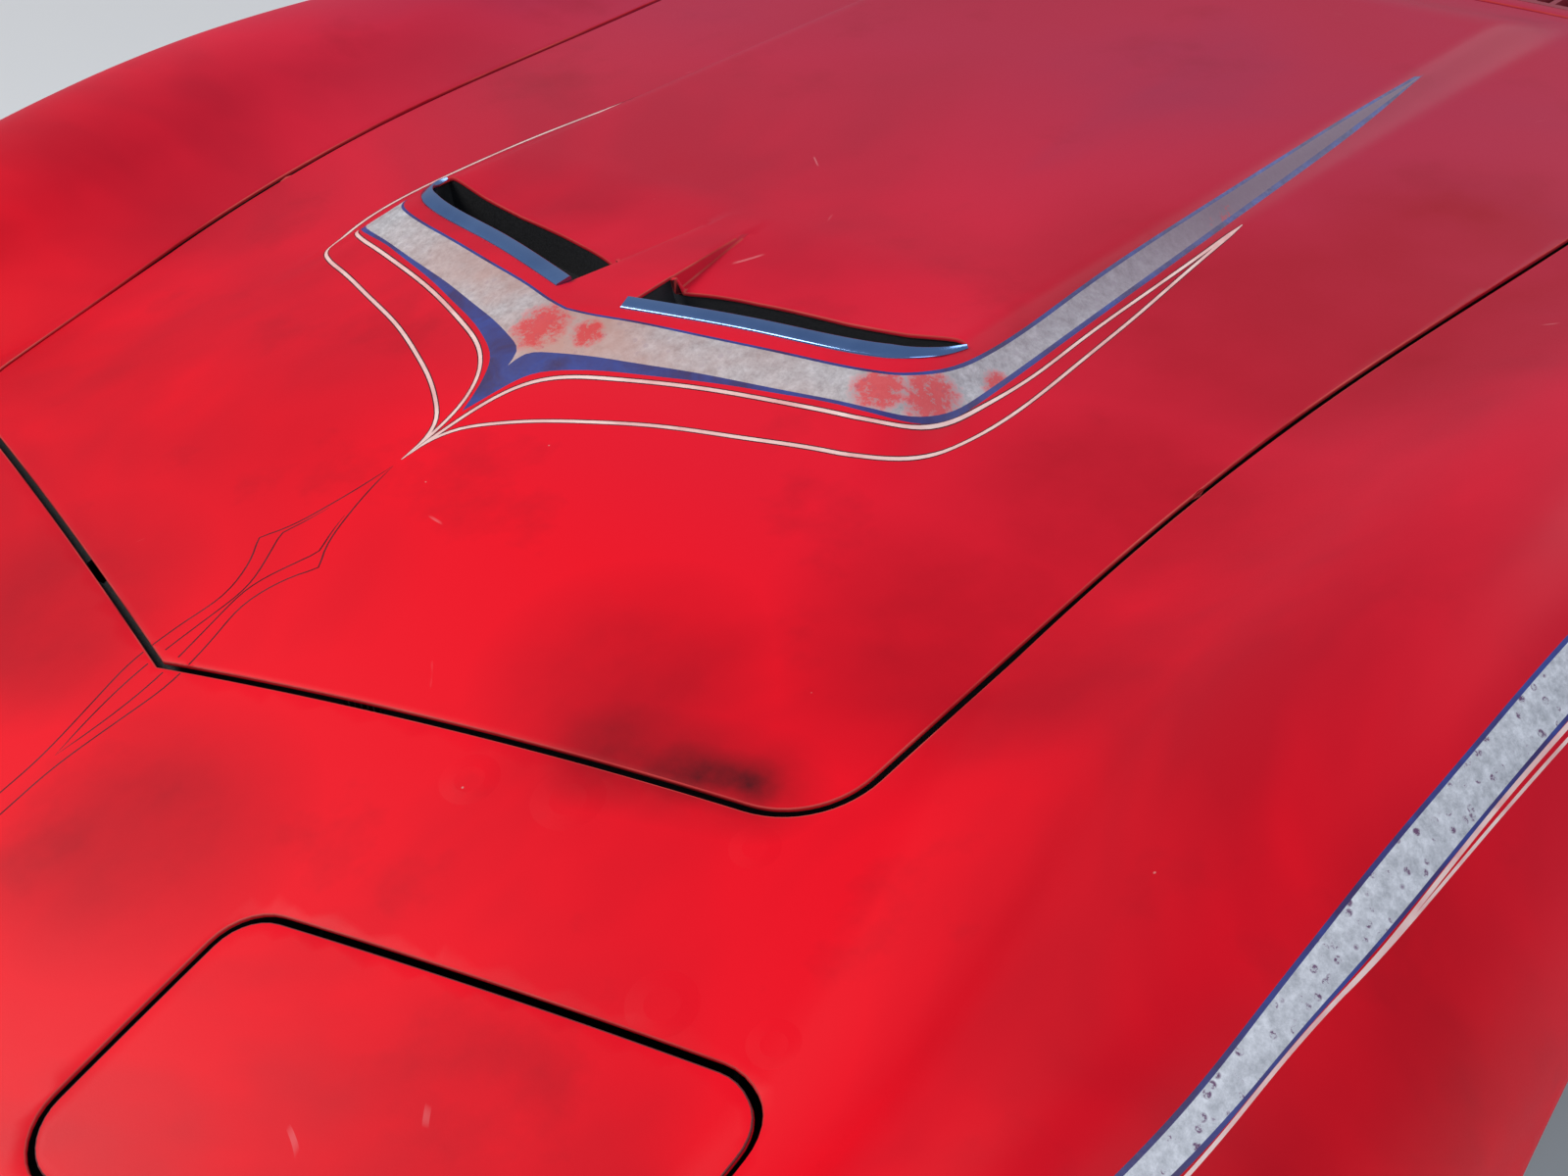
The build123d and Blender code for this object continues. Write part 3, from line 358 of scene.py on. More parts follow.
def inside(points, polygon):
    """Which points lie in a closed polygon."""
    x, y = points[:, 0], points[:, 1]
    hit = np.zeros(len(points), bool)
    for (x0, y0), (x1, y1) in zip(polygon, np.roll(polygon, -1, axis=0)):
        if y0 == y1:
            continue
        crosses = (y0 > y) != (y1 > y)
        hit ^= crosses & (x < (x1 - x0) * (y - y0) / (y1 - y0) + x0)
    return hit


def distance_to(points, lines):
    """Distance from each point to the nearest of the lines."""
    starts = np.vstack([line[:-1] for line in lines])
    ends = np.vstack([line[1:] for line in lines])
    d = ends - starts
    size = np.maximum((d ** 2).sum(1), 1e-12)
    best = np.empty(len(points))
    for i in range(0, len(points), 1500):
        p = points[i:i + 1500, None]
        t = np.clip(((p - starts) * d).sum(2) / size, 0, 1)
        best[i:i + 1500] = np.sqrt((((starts + t[..., None] * d) - p) ** 2).sum(2)).min(1)
    return best


GAP = 5.0
BONNET_REAR_Y = 1428
BONNET_CORNERS = ((0, 0), (482, V_SLOPE * 482), (556, BONNET_REAR_Y), (0, BONNET_REAR_Y))
BONNET_CORNER_R = (0, 70, 6, 0)
LID_CORNERS = tuple((x, y + V_SLOPE * x)
                    for x, y in ((222, -160), (582, -160), (582, -350), (222, -350)))
LID_CORNER_R = 36.0
NOSE_CORNERS = ((0, -400), (560, -400 + V_SLOPE * 560), (905, 60), (905, 300))
NOSE_CORNER_R = (0, 200, 300, 0)
NOSE_EDGE_Z, NOSE_UNDERCUT = -130.0, math.tan(math.radians(7))
SPLIT_Z, JOINT_Y, REAR_Y = -190.0, 130.0, 1559.8


def bonnet_edge(spread):
    """Left half of the bonnet's outline, from the tip to the middle of the rear edge."""
    line = beside(rounded(BONNET_CORNERS, BONNET_CORNER_R), -spread)
    line[0] = 0, -spread * math.hypot(1, V_SLOPE)
    line[-1] = 0, BONNET_REAR_Y + spread
    return line


def bonnet_front_y(x):
    """Where the bonnet's front edge runs, along the middle of the gap."""
    return V_SLOPE * np.abs(x)


def lid_edge(spread):
    return closed_beside(rounded(LID_CORNERS, (LID_CORNER_R,) * 4, closed=True), spread)


# Meshes
def to_row(points):
    """Points in mm from the tip, as metres in the row frame."""
    return np.asarray(points, float) / 1000 + np.array(TIP)


def new_object(name, vertices, faces, materials=(), indices=None, edges=()):
    mesh = bpy.data.meshes.new(name)
    mesh.from_pydata([tuple(v) for v in vertices], edges, [tuple(f) for f in faces])
    for material in materials:
        mesh.materials.append(material)
    if indices is not None:
        mesh.polygons.foreach_set("material_index", np.asarray(indices, np.int32))
    mesh.update()
    o = bpy.data.objects.new(name, mesh)
    bpy.context.scene.collection.objects.link(o)
    return o


def select_only(o):
    bpy.ops.object.select_all(action="DESELECT")
    o.select_set(True)
    bpy.context.view_layer.objects.active = o


def apply_modifier(o, kind, **values):
    """Adds a modifier, sets it and applies it."""
    select_only(o)
    modifier = o.modifiers.new(kind.lower(), kind)
    for key, value in values.items():
        setattr(modifier, key, value)
    bpy.ops.object.modifier_apply(modifier=modifier.name)
    return o


def smooth_shade(o, degrees=35):
    select_only(o)
    bpy.ops.object.shade_smooth_by_angle(angle=math.radians(degrees))
    return o

OUTWARD = (bpy.ops.mesh.normals_make_consistent, {"inside": False})


def joined_within(distance):
    return bpy.ops.mesh.remove_doubles, {"threshold": distance}


def edit_mesh(o, *steps):
    """Runs mesh operators, each with its values, on all of an object's mesh."""
    select_only(o)
    bpy.ops.object.mode_set(mode="EDIT")
    for operator, values in steps:
        bpy.ops.mesh.select_all(action="SELECT")
        operator(**values)
    bpy.ops.object.mode_set(mode="OBJECT")


def cut_sheet(outline, holes, features, grid, clearance):
    """Triangles that fill an outline, with edges along all the feature lines."""
    lines = [loop(outline)] + [loop(h) for h in holes] + list(features)
    grid = grid[distance_to(grid, lines) > clearance]
    grid = grid[inside(grid, outline)]
    for h in holes:
        grid = grid[~inside(grid, h)]
    points, edges = [], []
    for line in lines:
        start = len(points)
        points.extend(line)
        edges.extend((start + i, start + i + 1) for i in range(len(line) - 1))
    points.extend(grid)
    flat, _, faces, *_ = delaunay_2d_cdt([Vector(p) for p in points], edges, [], 0, 1e-3)
    flat = np.array([tuple(v) for v in flat])
    faces = np.array([f for f in faces if len(f) == 3])
    centres = flat[faces].mean(1)
    keep = inside(centres, outline)
    for h in holes:
        keep &= ~inside(centres, h)
    faces, centres = faces[keep], centres[keep]
    a, b, c = (flat[faces[:, i]] for i in range(3))
    area = np.cross(b - a, c - a)
    faces[area < 0] = faces[area < 0][:, ::-1]
    used = np.unique(faces)
    again = np.full(len(flat), -1)
    again[used] = np.arange(len(used))
    return flat[used], again[faces], centres


# Materials
class Nodes:
    """A node tree, with short calls for the nodes that the finishes share."""

    def __init__(self, tree):
        self.tree = tree

    @cached_property
    def place(self):
        return self.add("TexCoord").outputs["Object"]

    def feed(self, socket, value):
        if isinstance(value, bpy.types.NodeSocket):
            self.tree.links.new(value, socket)
        else:
            socket.default_value = (*value, 1.0) if socket.type == "RGBA" else value

    def add(self, kind, inputs=(), **values):
        node = self.tree.nodes.new("ShaderNode" + kind)
        for key, value in values.items():
            setattr(node, key, value)
        for key, value in dict(inputs).items():
            self.feed(node.inputs[key], value)
        return node

    def noise(self, scale, detail=2.0, roughness=0.5, distortion=0.0):
        inputs = {"Vector": self.place, "Scale": scale, "Detail": detail, "Roughness": roughness,
                  "Distortion": distortion}
        return self.add("TexNoise", inputs).outputs["Fac"]

    def flecks(self, scale):
        inputs = {"Vector": self.place, "Scale": scale, "Randomness": 1.0}
        return self.add("TexVoronoi", inputs).outputs["Distance"]

    def ramp(self, value, low, high, out_low=0.0, out_high=1.0):
        inputs = {"Value": value, "From Min": low, "From Max": high,
                  "To Min": out_low, "To Max": out_high}
        return self.add("MapRange", inputs).outputs[0]

    def join(self, kind, *values):
        """A sum or other result of two or three numbers."""
        return self.add("Math", dict(enumerate(values)), operation=kind).outputs[0]

    def times(self, a, b):
        return self.join("MULTIPLY", a, b)

    def vector(self, kind, a, b):
        return self.add("VectorMath", {0: a, 1: b}, operation=kind).outputs

    def mix(self, factor, a, b):
        return self.add("Mix", {0: factor, 6: a, 7: b}, data_type="RGBA").outputs[2]

    def bump(self, strength, distance, height, **below):
        inputs = {"Strength": strength, "Distance": distance, "Height": height, **below}
        return self.add("Bump", inputs).outputs[0]

    def aged(self, *scales):
        """Masks of the aged coat, for its broad, grain and scratch scales."""
        return self.add("Group", dict(enumerate(scales)), node_tree=AGED_COAT).outputs

    def spots(self, centres):
        """Soft round patches, given as x, y, z and radius in mm from the tip."""
        total = None
        for *centre, radius in centres:
            far = self.vector("DISTANCE", self.place, tuple(to_row(centre)))["Value"]
            patch = self.ramp(far, radius / 1000, 0.0)
            total = patch if total is None else self.join("MAXIMUM", total, patch)
        return total

    def smear(self, start, end, radius):
        """Soft band round the line between two points, in mm from the tip."""
        start, end = Vector(to_row(start)), Vector(to_row(end))
        run = end - start
        offset = self.vector("SUBTRACT", self.place, tuple(start))[0]
        along = self.vector("DOT_PRODUCT", offset, tuple(run / run.length_squared))["Value"]
        inputs = {0: tuple(run), "Scale": self.ramp(along, 0.0, 1.0)}
        nearest = self.add("VectorMath", inputs, operation="SCALE").outputs[0]
        return self.ramp(self.vector("DISTANCE", offset, nearest)["Value"], radius / 1000, 0.0)

    def dress(self, inputs):
        """Feeds the surface's shader."""
        surface = self.tree.nodes["Principled BSDF"].inputs
        for key, value in inputs.items():
            self.feed(surface[key], value)

    def show(self, output, factor, first, second):
        """Mixes two shaders into the tree's output."""
        blend = self.add("MixShader", {0: factor, 1: first, 2: second})
        self.feed(self.tree.nodes[output].inputs["Surface"], blend.outputs[0])


def aged_coat():
    """Masks of an aged coat: broad fading, fine grain and a few hairline scratches."""
    group = bpy.data.node_groups.new("aged_coat", "ShaderNodeTree")
    for name, value in (("Broad Scale", 2.0), ("Grain Scale", 400.0), ("Scratch Scale", 6.0)):
        socket = group.interface.new_socket(name, in_out="INPUT", socket_type="NodeSocketFloat")
        socket.default_value = value
    for name in ("Broad", "Grain", "Scratch", "Height"):
        group.interface.new_socket(name, in_out="OUTPUT", socket_type="NodeSocketFloat")
    nodes = Nodes(group)
    given = group.nodes.new("NodeGroupInput").outputs
    wanted = group.nodes.new("NodeGroupOutput").inputs
    grain = nodes.noise(given["Grain Scale"], 3.0, 0.7)
    hairline = nodes.join("COMPARE", nodes.noise(given["Scratch Scale"], 1.0), 0.5, 0.0018)
    scratch = nodes.times(hairline, nodes.ramp(nodes.noise(17.0, 1.0), 0.70, 0.74))
    nodes.feed(wanted["Broad"], nodes.noise(given["Broad Scale"], 4.0, 0.55, 0.6))
    nodes.feed(wanted["Grain"], grain)
    nodes.feed(wanted["Scratch"], scratch)
    nodes.feed(wanted["Height"], nodes.join("MULTIPLY_ADD", scratch, -0.5, grain))
    return group


AGED_COAT = aged_coat()


def new_finish(name):
    material = bpy.data.materials.new(name)
    material.use_nodes = True
    return material, Nodes(material.node_tree)


def coat(name, colour, shade, roughness, bump=0.04, broad=2.0, **sockets):
    """A plain aged coat: two shades blotched into each other, with grain and scratches."""
    material, nodes = new_finish(name)
    aged = nodes.aged(broad, 400.0, 6.0)
    nodes.dress({
        "Base Color": nodes.mix(nodes.ramp(aged["Broad"], 0.35, 0.68), shade, colour),
        "Roughness": nodes.ramp(aged["Grain"], 0.3, 0.7, roughness * 0.8, min(1.0, roughness * 1.2)),
        "Normal": nodes.bump(bump, 0.002, aged["Height"]),
        **{key.replace("_", " "): value for key, value in sockets.items()}})
    return material


# Marks on the paint, in mm from the tip: lines of painted shade along the dome's front foot, with a
# radius and a strength, then round patches
DOME_FOOT_SHADE = (((336, 103, 18), (432, 140, 18), 46, 0.55), ((382, 118, 18), (424, 133, 18), 26, 0.40))
# Round patches of painted shade, most of them in the low ground between the dome and the wing
SHADED_PATCHES = ((472, 458, 90, 170), (460, 315, 60, 150), (441, 726, 126, 260), (301, 154, 37, 110),
          (-126, 0, -2, 130), (116, -96, -34, 120), (480, 900, 140, 200))
BLISTERS = ((273, 42, 4, 20), (338, 65, 6, 24), (483, -2, -33, 22), (458, 104, 4, 16),
            (551, 17, -37, 16))
WORN_PATCHES = ((-6, 370, 125, 40), (36, 380, 125, 22), (272, 440, 127, 34), (300, 462, 120, 40),
                (316, 520, 111, 22))


def red_paint():
    """Faded red lacquer: bright at the nose; a painted sky reflection makes it duller and more purple
    towards the rear.
    """
    material, nodes = new_finish("red_lacquer")
    mix, ramp, times = nodes.mix, nodes.ramp, nodes.times
    split = nodes.add("SeparateXYZ", {"Vector": nodes.place}).outputs
    aged = nodes.aged(2.2, 700.0, 3.0)
    broad = ramp(aged["Broad"], 0.36, 0.62)
    colour = mix(broad, (0.46, 0.002, 0.010), (0.78, 0.002, 0.012))
    # Painted reflection: the paint turns duller and more purple towards the rear, in blotches.
    rear = times(ramp(split["Y"], -1.35, -0.55), ramp(aged["Broad"], 0.3, 0.7, 0.55, 1.0))
    colour = mix(rear, colour, (0.36, 0.022, 0.058))
    cloud = nodes.noise(7.0, 5.0, 0.6)
    colour = mix(ramp(cloud, 0.58, 0.80, 0.0, 0.4), colour, (0.24, 0.004, 0.010))
    # Painted shade: darker red in round patches, blotched by noise.
    patch_shade = times(ramp(nodes.spots(SHADED_PATCHES), 0.0, 0.6), ramp(cloud, 0.3, 0.7, 0.35, 0.75))
    colour = mix(patch_shade, colour, (0.34, 0.002, 0.009))
    # Painted shadow: a nearly black smear along the dome's front foot, broken up by noise.
    foot_shade = [times(ramp(nodes.smear(*line), 0.0, 0.9), strength) for *line, strength in DOME_FOOT_SHADE]
    shade_breakup = ramp(nodes.noise(22.0, 8.0, 0.55), 0.30, 0.62, 0.55, 1.0)
    colour = mix(times(nodes.join("ADD", *foot_shade), shade_breakup), colour, (0.012, 0.004, 0.006))
    chips = times(ramp(nodes.flecks(26.0), 0.016, 0.026, 1.0, 0.0), ramp(cloud, 0.58, 0.62))
    colour = mix(chips, colour, (0.60, 0.20, 0.18))
    colour = mix(times(aged["Scratch"], 0.3), colour, (0.78, 0.30, 0.30))
    waves = nodes.bump(0.3, 0.004, nodes.noise(6.0))
    blisters = nodes.bump(0.6, 0.0012, ramp(nodes.spots(BLISTERS), 0.0, 0.5), Normal=waves)
    nodes.dress({
        "Base Color": colour,
        "Roughness": nodes.join("ADD", ramp(aged["Grain"], 0.3, 0.7, -0.03, 0.04),
                                ramp(broad, 0.0, 1.0, 0.40, 0.48)),
        "Normal": nodes.bump(0.05, 0.001, aged["Height"], Normal=blisters),
        "Specular IOR Level": 0.1, "Coat Weight": 0.03, "Coat Roughness": 0.25})
    return material


def silver_stripe():
    """Silver-grey band, mottled, browned in places and worn through to the red below, with a painted
    reflection that darkens it towards the rear.
    """
    material, nodes = new_finish("worn_silver")
    mix, ramp, times = nodes.mix, nodes.ramp, nodes.times
    split = nodes.add("SeparateXYZ", {"Vector": nodes.place}).outputs
    fine, broad = nodes.noise(110.0, 9.0, 0.8), nodes.noise(9.0, 4.0, 0.6)
    mottle = ramp(fine, 0.36, 0.64)
    outward = nodes.join("ABSOLUTE", split["X"])
    colour = mix(ramp(outward, 0.45, 0.55), mix(mottle, (0.30, 0.29, 0.30), (0.60, 0.59, 0.60)),
                 mix(mottle, (0.38, 0.38, 0.40), (0.72, 0.71, 0.73)))
    brown = times(ramp(outward, 0.34, 0.02), ramp(broad, 0.34, 0.62, 0.25, 0.95))
    colour = mix(brown, colour, (0.50, 0.27, 0.22))
    # Painted reflection: darker and more purple towards the rear of the bonnet's band.
    rear_reflection = times(ramp(split["Y"], -1.06, -0.72, 0.0, 0.85), ramp(outward, 0.45, 0.40))
    colour = mix(rear_reflection, colour, (0.15, 0.08, 0.12))
    patches = times(nodes.spots(WORN_PATCHES), ramp(fine, 0.35, 0.65, 0.6, 2.6))
    worn = nodes.join("MAXIMUM", ramp(patches, 0.42, 1.05, 0.0, 0.85),
                      ramp(nodes.join("ADD", broad, fine), 1.27, 1.34))
    colour = mix(worn, colour, (0.62, 0.015, 0.02))
    pits = times(ramp(nodes.flecks(125.0), 0.24, 0.36, 1.0, 0.0), ramp(fine, 0.51, 0.55))
    colour = mix(times(pits, ramp(outward, 0.45, 0.55, 0.2, 1.0)), colour, (0.15, 0.07, 0.14))
    nodes.dress({
        "Base Color": colour, "Roughness": ramp(fine, 0.3, 0.7, 0.45, 0.62),
        "Metallic": ramp(worn, 0.0, 1.0, 0.2, 0.0),
        "Normal": nodes.bump(0.2, 0.0006, fine), "Specular IOR Level": 0.3})
    return material


RED = red_paint()
SILVER = silver_stripe()
BLUE = coat("blue_outline", (0.022, 0.045, 0.25), (0.03, 0.012, 0.09), 0.45, broad=30.0)
CREAM = coat("cream_pinstripe", (0.86, 0.62, 0.55), (0.72, 0.36, 0.33), 0.45, broad=25.0)
TAUPE = coat("faded_pinstripe", (0.045, 0.004, 0.008), (0.12, 0.020, 0.026), 0.5, broad=30.0,
             Specular_IOR_Level=0.1)
BLACK = coat("black_moulding", (0.015, 0.015, 0.017), (0.008, 0.008, 0.009), 0.6, bump=0.2,
             Specular_IOR_Level=0.3)
BLACK_STEEL = coat("black_steel", (0.018, 0.018, 0.020), (0.010, 0.009, 0.009), 0.45, bump=0.1,
                   Specular_IOR_Level=0.3)
# Chrome with a blue base colour: the blue is a painted sky reflection
SKY_TINTED_CHROME = coat("sky_tinted_chrome", (0.22, 0.36, 0.64), (0.16, 0.27, 0.52), 0.16, bump=0.01, broad=12.0,
              Metallic=1.0)
BRIGHT = coat("plain_chrome", (0.66, 0.68, 0.70), (0.50, 0.52, 0.54), 0.13, bump=0.01, broad=9.0,
              Metallic=1.0)
CORE = coat("radiator_core", (0.34, 0.34, 0.35), (0.18, 0.18, 0.185), 0.45, bump=0.2, Metallic=0.5)
AMBER = coat("amber_lens", (0.95, 0.30, 0.02), (0.85, 0.20, 0.01), 0.18, bump=0.02)
ARCH_TRIM = coat("arch_edge", (0.17, 0.105, 0.095), (0.09, 0.06, 0.058), 0.6, bump=0.15, broad=12.0)
# Paint on the rounded edges: real wear, with paler blotches that are partly a painted highlight
WORN_EDGE_AND_HIGHLIGHT = coat("worn_edge_and_highlight", (0.40, 0.003, 0.010), (0.56, 0.07, 0.06), 0.55, bump=0.1, broad=6.0,
                 Specular_IOR_Level=0.1)
LAMP = coat("lamp_glass", (0.70, 0.74, 0.76), (0.46, 0.50, 0.53), 0.10, bump=0.02, Metallic=0.55,
            Coat_Weight=1.0)
COWL_RED = coat("cowl_bar_red", (0.34, 0.035, 0.06), (0.22, 0.012, 0.02), 0.55, bump=0.1)
UNDERCOAT = coat("red_undercoat", (0.16, 0.006, 0.010), (0.07, 0.004, 0.006), 0.7, bump=0.15)
PAINTS = (RED, SILVER, BLUE, CREAM, TAUPE, WORN_EDGE_AND_HIGHLIGHT, UNDERCOAT)
RED_FACE, SILVER_FACE, BLUE_FACE, CREAM_FACE, TAUPE_FACE = range(5)

SLOT_FINISH = {"red_paint": RED, "black_moulding": BLACK, "black_steel": BLACK_STEEL,
               "chrome": SKY_TINTED_CHROME, "radiator_core": CORE, "amber_lens": AMBER, "lamp_glass": LAMP}
NODE_FINISH = {"front_bumper": BRIGHT, "cowl_grille": COWL_RED}
for part in frame["record"]["subparts"]:
    node = frame["nodes"][part["node"]]
    node.data.materials.clear()
    node.data.materials.append(NODE_FINISH.get(part["node"], SLOT_FINISH[part["material_slot"]]))

# Stripes on the bonnet, left half; x and y in mm from the tip
OUTER_PIN = ((0, 222), (2, 245), (12, 266), (30, 282), (56, 299), (95, 319), (145, 341),
             (210, 363), (270, 382), (303, 394), (318, 408), (331, 432), (341, 467), (345, 518),
             (342, 582), (337, 650), (326, 745), (315, 841))
INNER_PIN = ((0, 222), (3, 262), (10, 296), (24, 322), (47, 341), (80, 356), (150, 381),
             (218, 400), (262, 411), (291, 420), (307, 433), (317, 455), (322, 491), (326, 545),
             (324, 605), (321, 700), (318, 782), (315, 841))
BLUE_LOW = ((0, 282), (10, 310), (22, 331), (45, 347), (66, 357), (110, 373), (160, 390),
            (212, 405), (258, 417), (290, 425), (308, 439), (316, 458), (319, 499), (316, 620),
            (311, 757), (305, 908), (297, 1075), (289, 1176))
SILVER_LOW = ((0, 330), (5, 344), (18, 352), (36, 359), (56, 366), (90, 376), (131, 388),
              (210, 408), (262, 421), (287, 428), (301, 438), (310, 454), (315, 499), (312, 620),
              (307, 757), (301, 908), (294, 1075), (289, 1170))
SILVER_HIGH = ((0, 391), (22, 395), (52, 403), (106, 415), (189, 433), (255, 448), (272, 455),
               (284, 467), (294, 489), (298, 521), (295, 645), (291, 800), (289, 950),
               (288, 1080), (289, 1170))
PIN_WIDTH, THIN_BLUE, PIN_EDGE = 2.8, 2.4, 1.8
# Thin brown lines down the middle of the nose
NOSE_OUTER_PIN = ((0, 214), (5, 186), (13, 156), (31, 120), (34, 115), (31, 110), (18, 90),
                  (11.5, 63), (16, 38), (20, 16), (22, -8), (18.5, -35), (12.5, -68), (8.5, -100),
                  (8.5, -130), (8, -165), (5, -205), (0, -250))
NOSE_INNER_PIN = ((9, 160), (19, 132), (21, 126), (19, 120), (10, 102), (1.5, 78), (2.5, 52),
                  (7, 16), (9, -8), (7.5, -43), (3.5, -70), (0, -88))
NOSE_PIN_WIDTH = 1.3
# Wall of the skins, the rounding of their edges and the distances at which points are joined, in m
WALL, EDGE_ROUND, CLOSE, CLOSER, SPECK = 0.0035, 0.0011, 0.00005, 0.00003, 0.00001


def pinned(points, width, taper=30.0):
    """Both edges of a painted line that runs out to a point at its ends."""
    line = smooth_line(points, 7.0)
    reach = lengths(line)
    ends = np.minimum(reach, reach[-1] - reach)
    half = width / 2 * np.clip(0.25 + ends / taper, 0, 1)
    left, right = beside(line, half), beside(line, -half)
    left[:, 0], right[:, 0] = np.maximum(left[:, 0], 0), np.maximum(right[:, 0], 0)
    return left, right

def mouth_line():
    """The mouth's outline in plan: front edge outwards, then the floor's leading edge back."""
    front, lead = smooth_line(MOUTH_FRONT, 5.0), smooth_line(FLOOR_LEAD, 5.0)
    return np.vstack((front, lead[-2::-1]))


def off_centre(vertices, faces, index):
    """The faces, with their paints, that don't lie flat on the centre line."""
    x = np.asarray(vertices)[:, 0]
    kept = [i for i, face in enumerate(faces) if any(x[v] for v in face)]
    return [faces[i] for i in kept], [index[i] for i in kept]


def along_line(points, line):
    """Indices of the points on a line, in their order along it."""
    step = np.diff(line, axis=0)
    length = np.hypot(*step.T)
    from_start = points[:, None] - line[None, :-1]
    share = np.clip((from_start * step).sum(2) / length ** 2, 0, 1)
    far = np.sqrt(((from_start - share[..., None] * step) ** 2).sum(2))
    nearest = far.argmin(1)
    rows = np.arange(len(points))
    on_line = np.flatnonzero(far[rows, nearest] < 0.002)
    place = (lengths(line)[:-1] + share * length)[rows, nearest]
    return on_line[np.argsort(place[on_line])]


def join_close_points(skin, distance):
    """Joins points nearer to each other than a distance and takes out faces with no area."""
    specks = (bpy.ops.mesh.dissolve_degenerate, {"threshold": SPECK})
    edit_mesh(skin, joined_within(distance), specks)


def add_wall(o, thickness=WALL, **values):
    return apply_modifier(o, "SOLIDIFY", thickness=thickness, offset=-1.0, **values)


def round_edges(o, width, **values):
    return apply_modifier(o, "BEVEL", width=width, limit_method="ANGLE", angle_limit=math.radians(50),
                          **values)


def finish_skin(skin, under):
    """Gives a red skin its wall, with plain paint on the inside, and softens its edges, which take worn
    paint whose paler blotches are partly a painted highlight.
    """
    join_close_points(skin, CLOSE)
    add_wall(skin, material_offset=under)
    round_edges(skin, EDGE_ROUND, segments=2, material=PAINTS.index(WORN_EDGE_AND_HIGHLIGHT), use_clamp_overlap=False)
    join_close_points(skin, CLOSER)
    return smooth_shade(skin)


def build_bonnet():
    """The bonnet's skin with its dome, scoop pans and stripes, left half mirrored."""
    edge = bonnet_edge(-GAP / 2)
    edge = np.vstack((edge, straight(edge[-1], edge[0], 7.0)[1:-1]))
    mouth = mouth_line()
    ridge = straight(*RIDGE_EDGE, 6.0)
    ridge = ridge[ridge[:, 1] > FLOOR_LEAD[0][1] - 1]
    foot = beside(ridge, -2.2)
    floor_area = ring(beside(ridge, -1.1), np.array([(290.0, 460.0), (290.0, SCOOP_END_Y + 8)]))
    pins = [pinned(points, PIN_WIDTH) for points in (OUTER_PIN, INNER_PIN)]
    pin_edges = [pinned(points, PIN_WIDTH + PIN_EDGE) for points in (OUTER_PIN, INNER_PIN)]
    nose_pins = [pinned(points, NOSE_PIN_WIDTH) for points in (NOSE_OUTER_PIN, NOSE_INNER_PIN)]
    silver_low, silver_high, blue_low = (
        smooth_line(p, 7.0) for p in (SILVER_LOW, SILVER_HIGH, BLUE_LOW))
    thin_high = beside(silver_high, THIN_BLUE)
    thin_high[0, 0] = 0
    thin_high[-1] = silver_high[-1]
    features = [*pins[0], *pins[1], *pin_edges[0], *pin_edges[1], silver_low, silver_high, blue_low,
                thin_high, ridge, foot]
    for pin in nose_pins:
        features.extend(line[line[:, 1] > bonnet_front_y(line[:, 0]) + 1.5] for line in pin)
    gx, along = grid_points(np.arange(0, 570, 7.0), np.arange(-20, 1450, 7.0)).T
    grid = np.stack((gx, along + np.clip((1250 - along) / 500, 0, 1) * V_SLOPE * gx), 1)
    flat, faces, centres = cut_sheet(edge, [mouth], features, grid, 2.6)
    x, y = flat.T
    z = dome_skin_z(x, y)
    in_floor = inside(flat, floor_area) & (y > lead_y(x) - 1.0)
    z = np.where(in_floor, z - scoop_drop(x, y), z)
    index = np.zeros(len(faces), int)
    for pin in nose_pins + pin_edges:
        index[inside(centres, ring(*pin))] = TAUPE_FACE
    for low, high, paint in ((blue_low, silver_low, BLUE_FACE), (silver_high, thin_high, BLUE_FACE),
                             (silver_low, silver_high, SILVER_FACE), (*pins[0], CREAM_FACE),
                             (*pins[1], CREAM_FACE)):
        index[inside(centres, ring(low, high))] = paint
    vertices = to_row(np.stack((x, y, z), 1))
    vertices[np.abs(x) < 0.05, 0] = 0.0
    faces, index = off_centre(vertices, faces, index)
    skin = new_object("bonnet_skin", vertices, faces, PAINTS, index)
    apply_modifier(skin, "MIRROR", use_axis=(True, False, False), merge_threshold=0.00005)
    finish_skin(skin, len(PAINTS) - 1)
    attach(skin, "bonnet_panel")
    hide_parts("bonnet")
    return skin


def front_line(inset):
    """Left half of the nose's outline in plan."""
    line = beside(rounded(NOSE_CORNERS, NOSE_CORNER_R, 7.0), inset)
    line[0] = 0, NOSE_CORNERS[0][1] + inset * math.hypot(1, V_SLOPE)
    return line


def drawn_in(z):
    """How far the nose's wall is drawn in below its edge."""
    return np.maximum(NOSE_EDGE_Z - z, 0) * NOSE_UNDERCUT


def front_limit(u, inset):
    """Station at which the body's form at girth u meets the nose's outline."""
    lo, hi = np.full(len(u), -430.0), np.full(len(u), 129.0)
    line0, line1 = front_line(0.0), front_line(1.0)
    for _ in range(34):
        mid = (lo + hi) / 2
        x, z = body_xz(u, mid)
        y0, y1 = np.interp(x, line0[:, 0], line0[:, 1]), np.interp(x, line1[:, 0], line1[:, 1])
        ahead = mid < y0 + (y1 - y0) * (inset + drawn_in(z))
        lo, hi = np.where(ahead, mid, lo), np.where(ahead, hi, mid)
    return (lo + hi) / 2


ARCH_Y, ARCH_Z, ARCH_R = 575.0, -353.0, 372.0
VENT = (1050.0, 1330.0, -330.0, -110.0)
FILLET = 13.0
SLOT_X, SLOT_FRONT_Y, SLOT_REAR_Y = 430, 1450, 1534
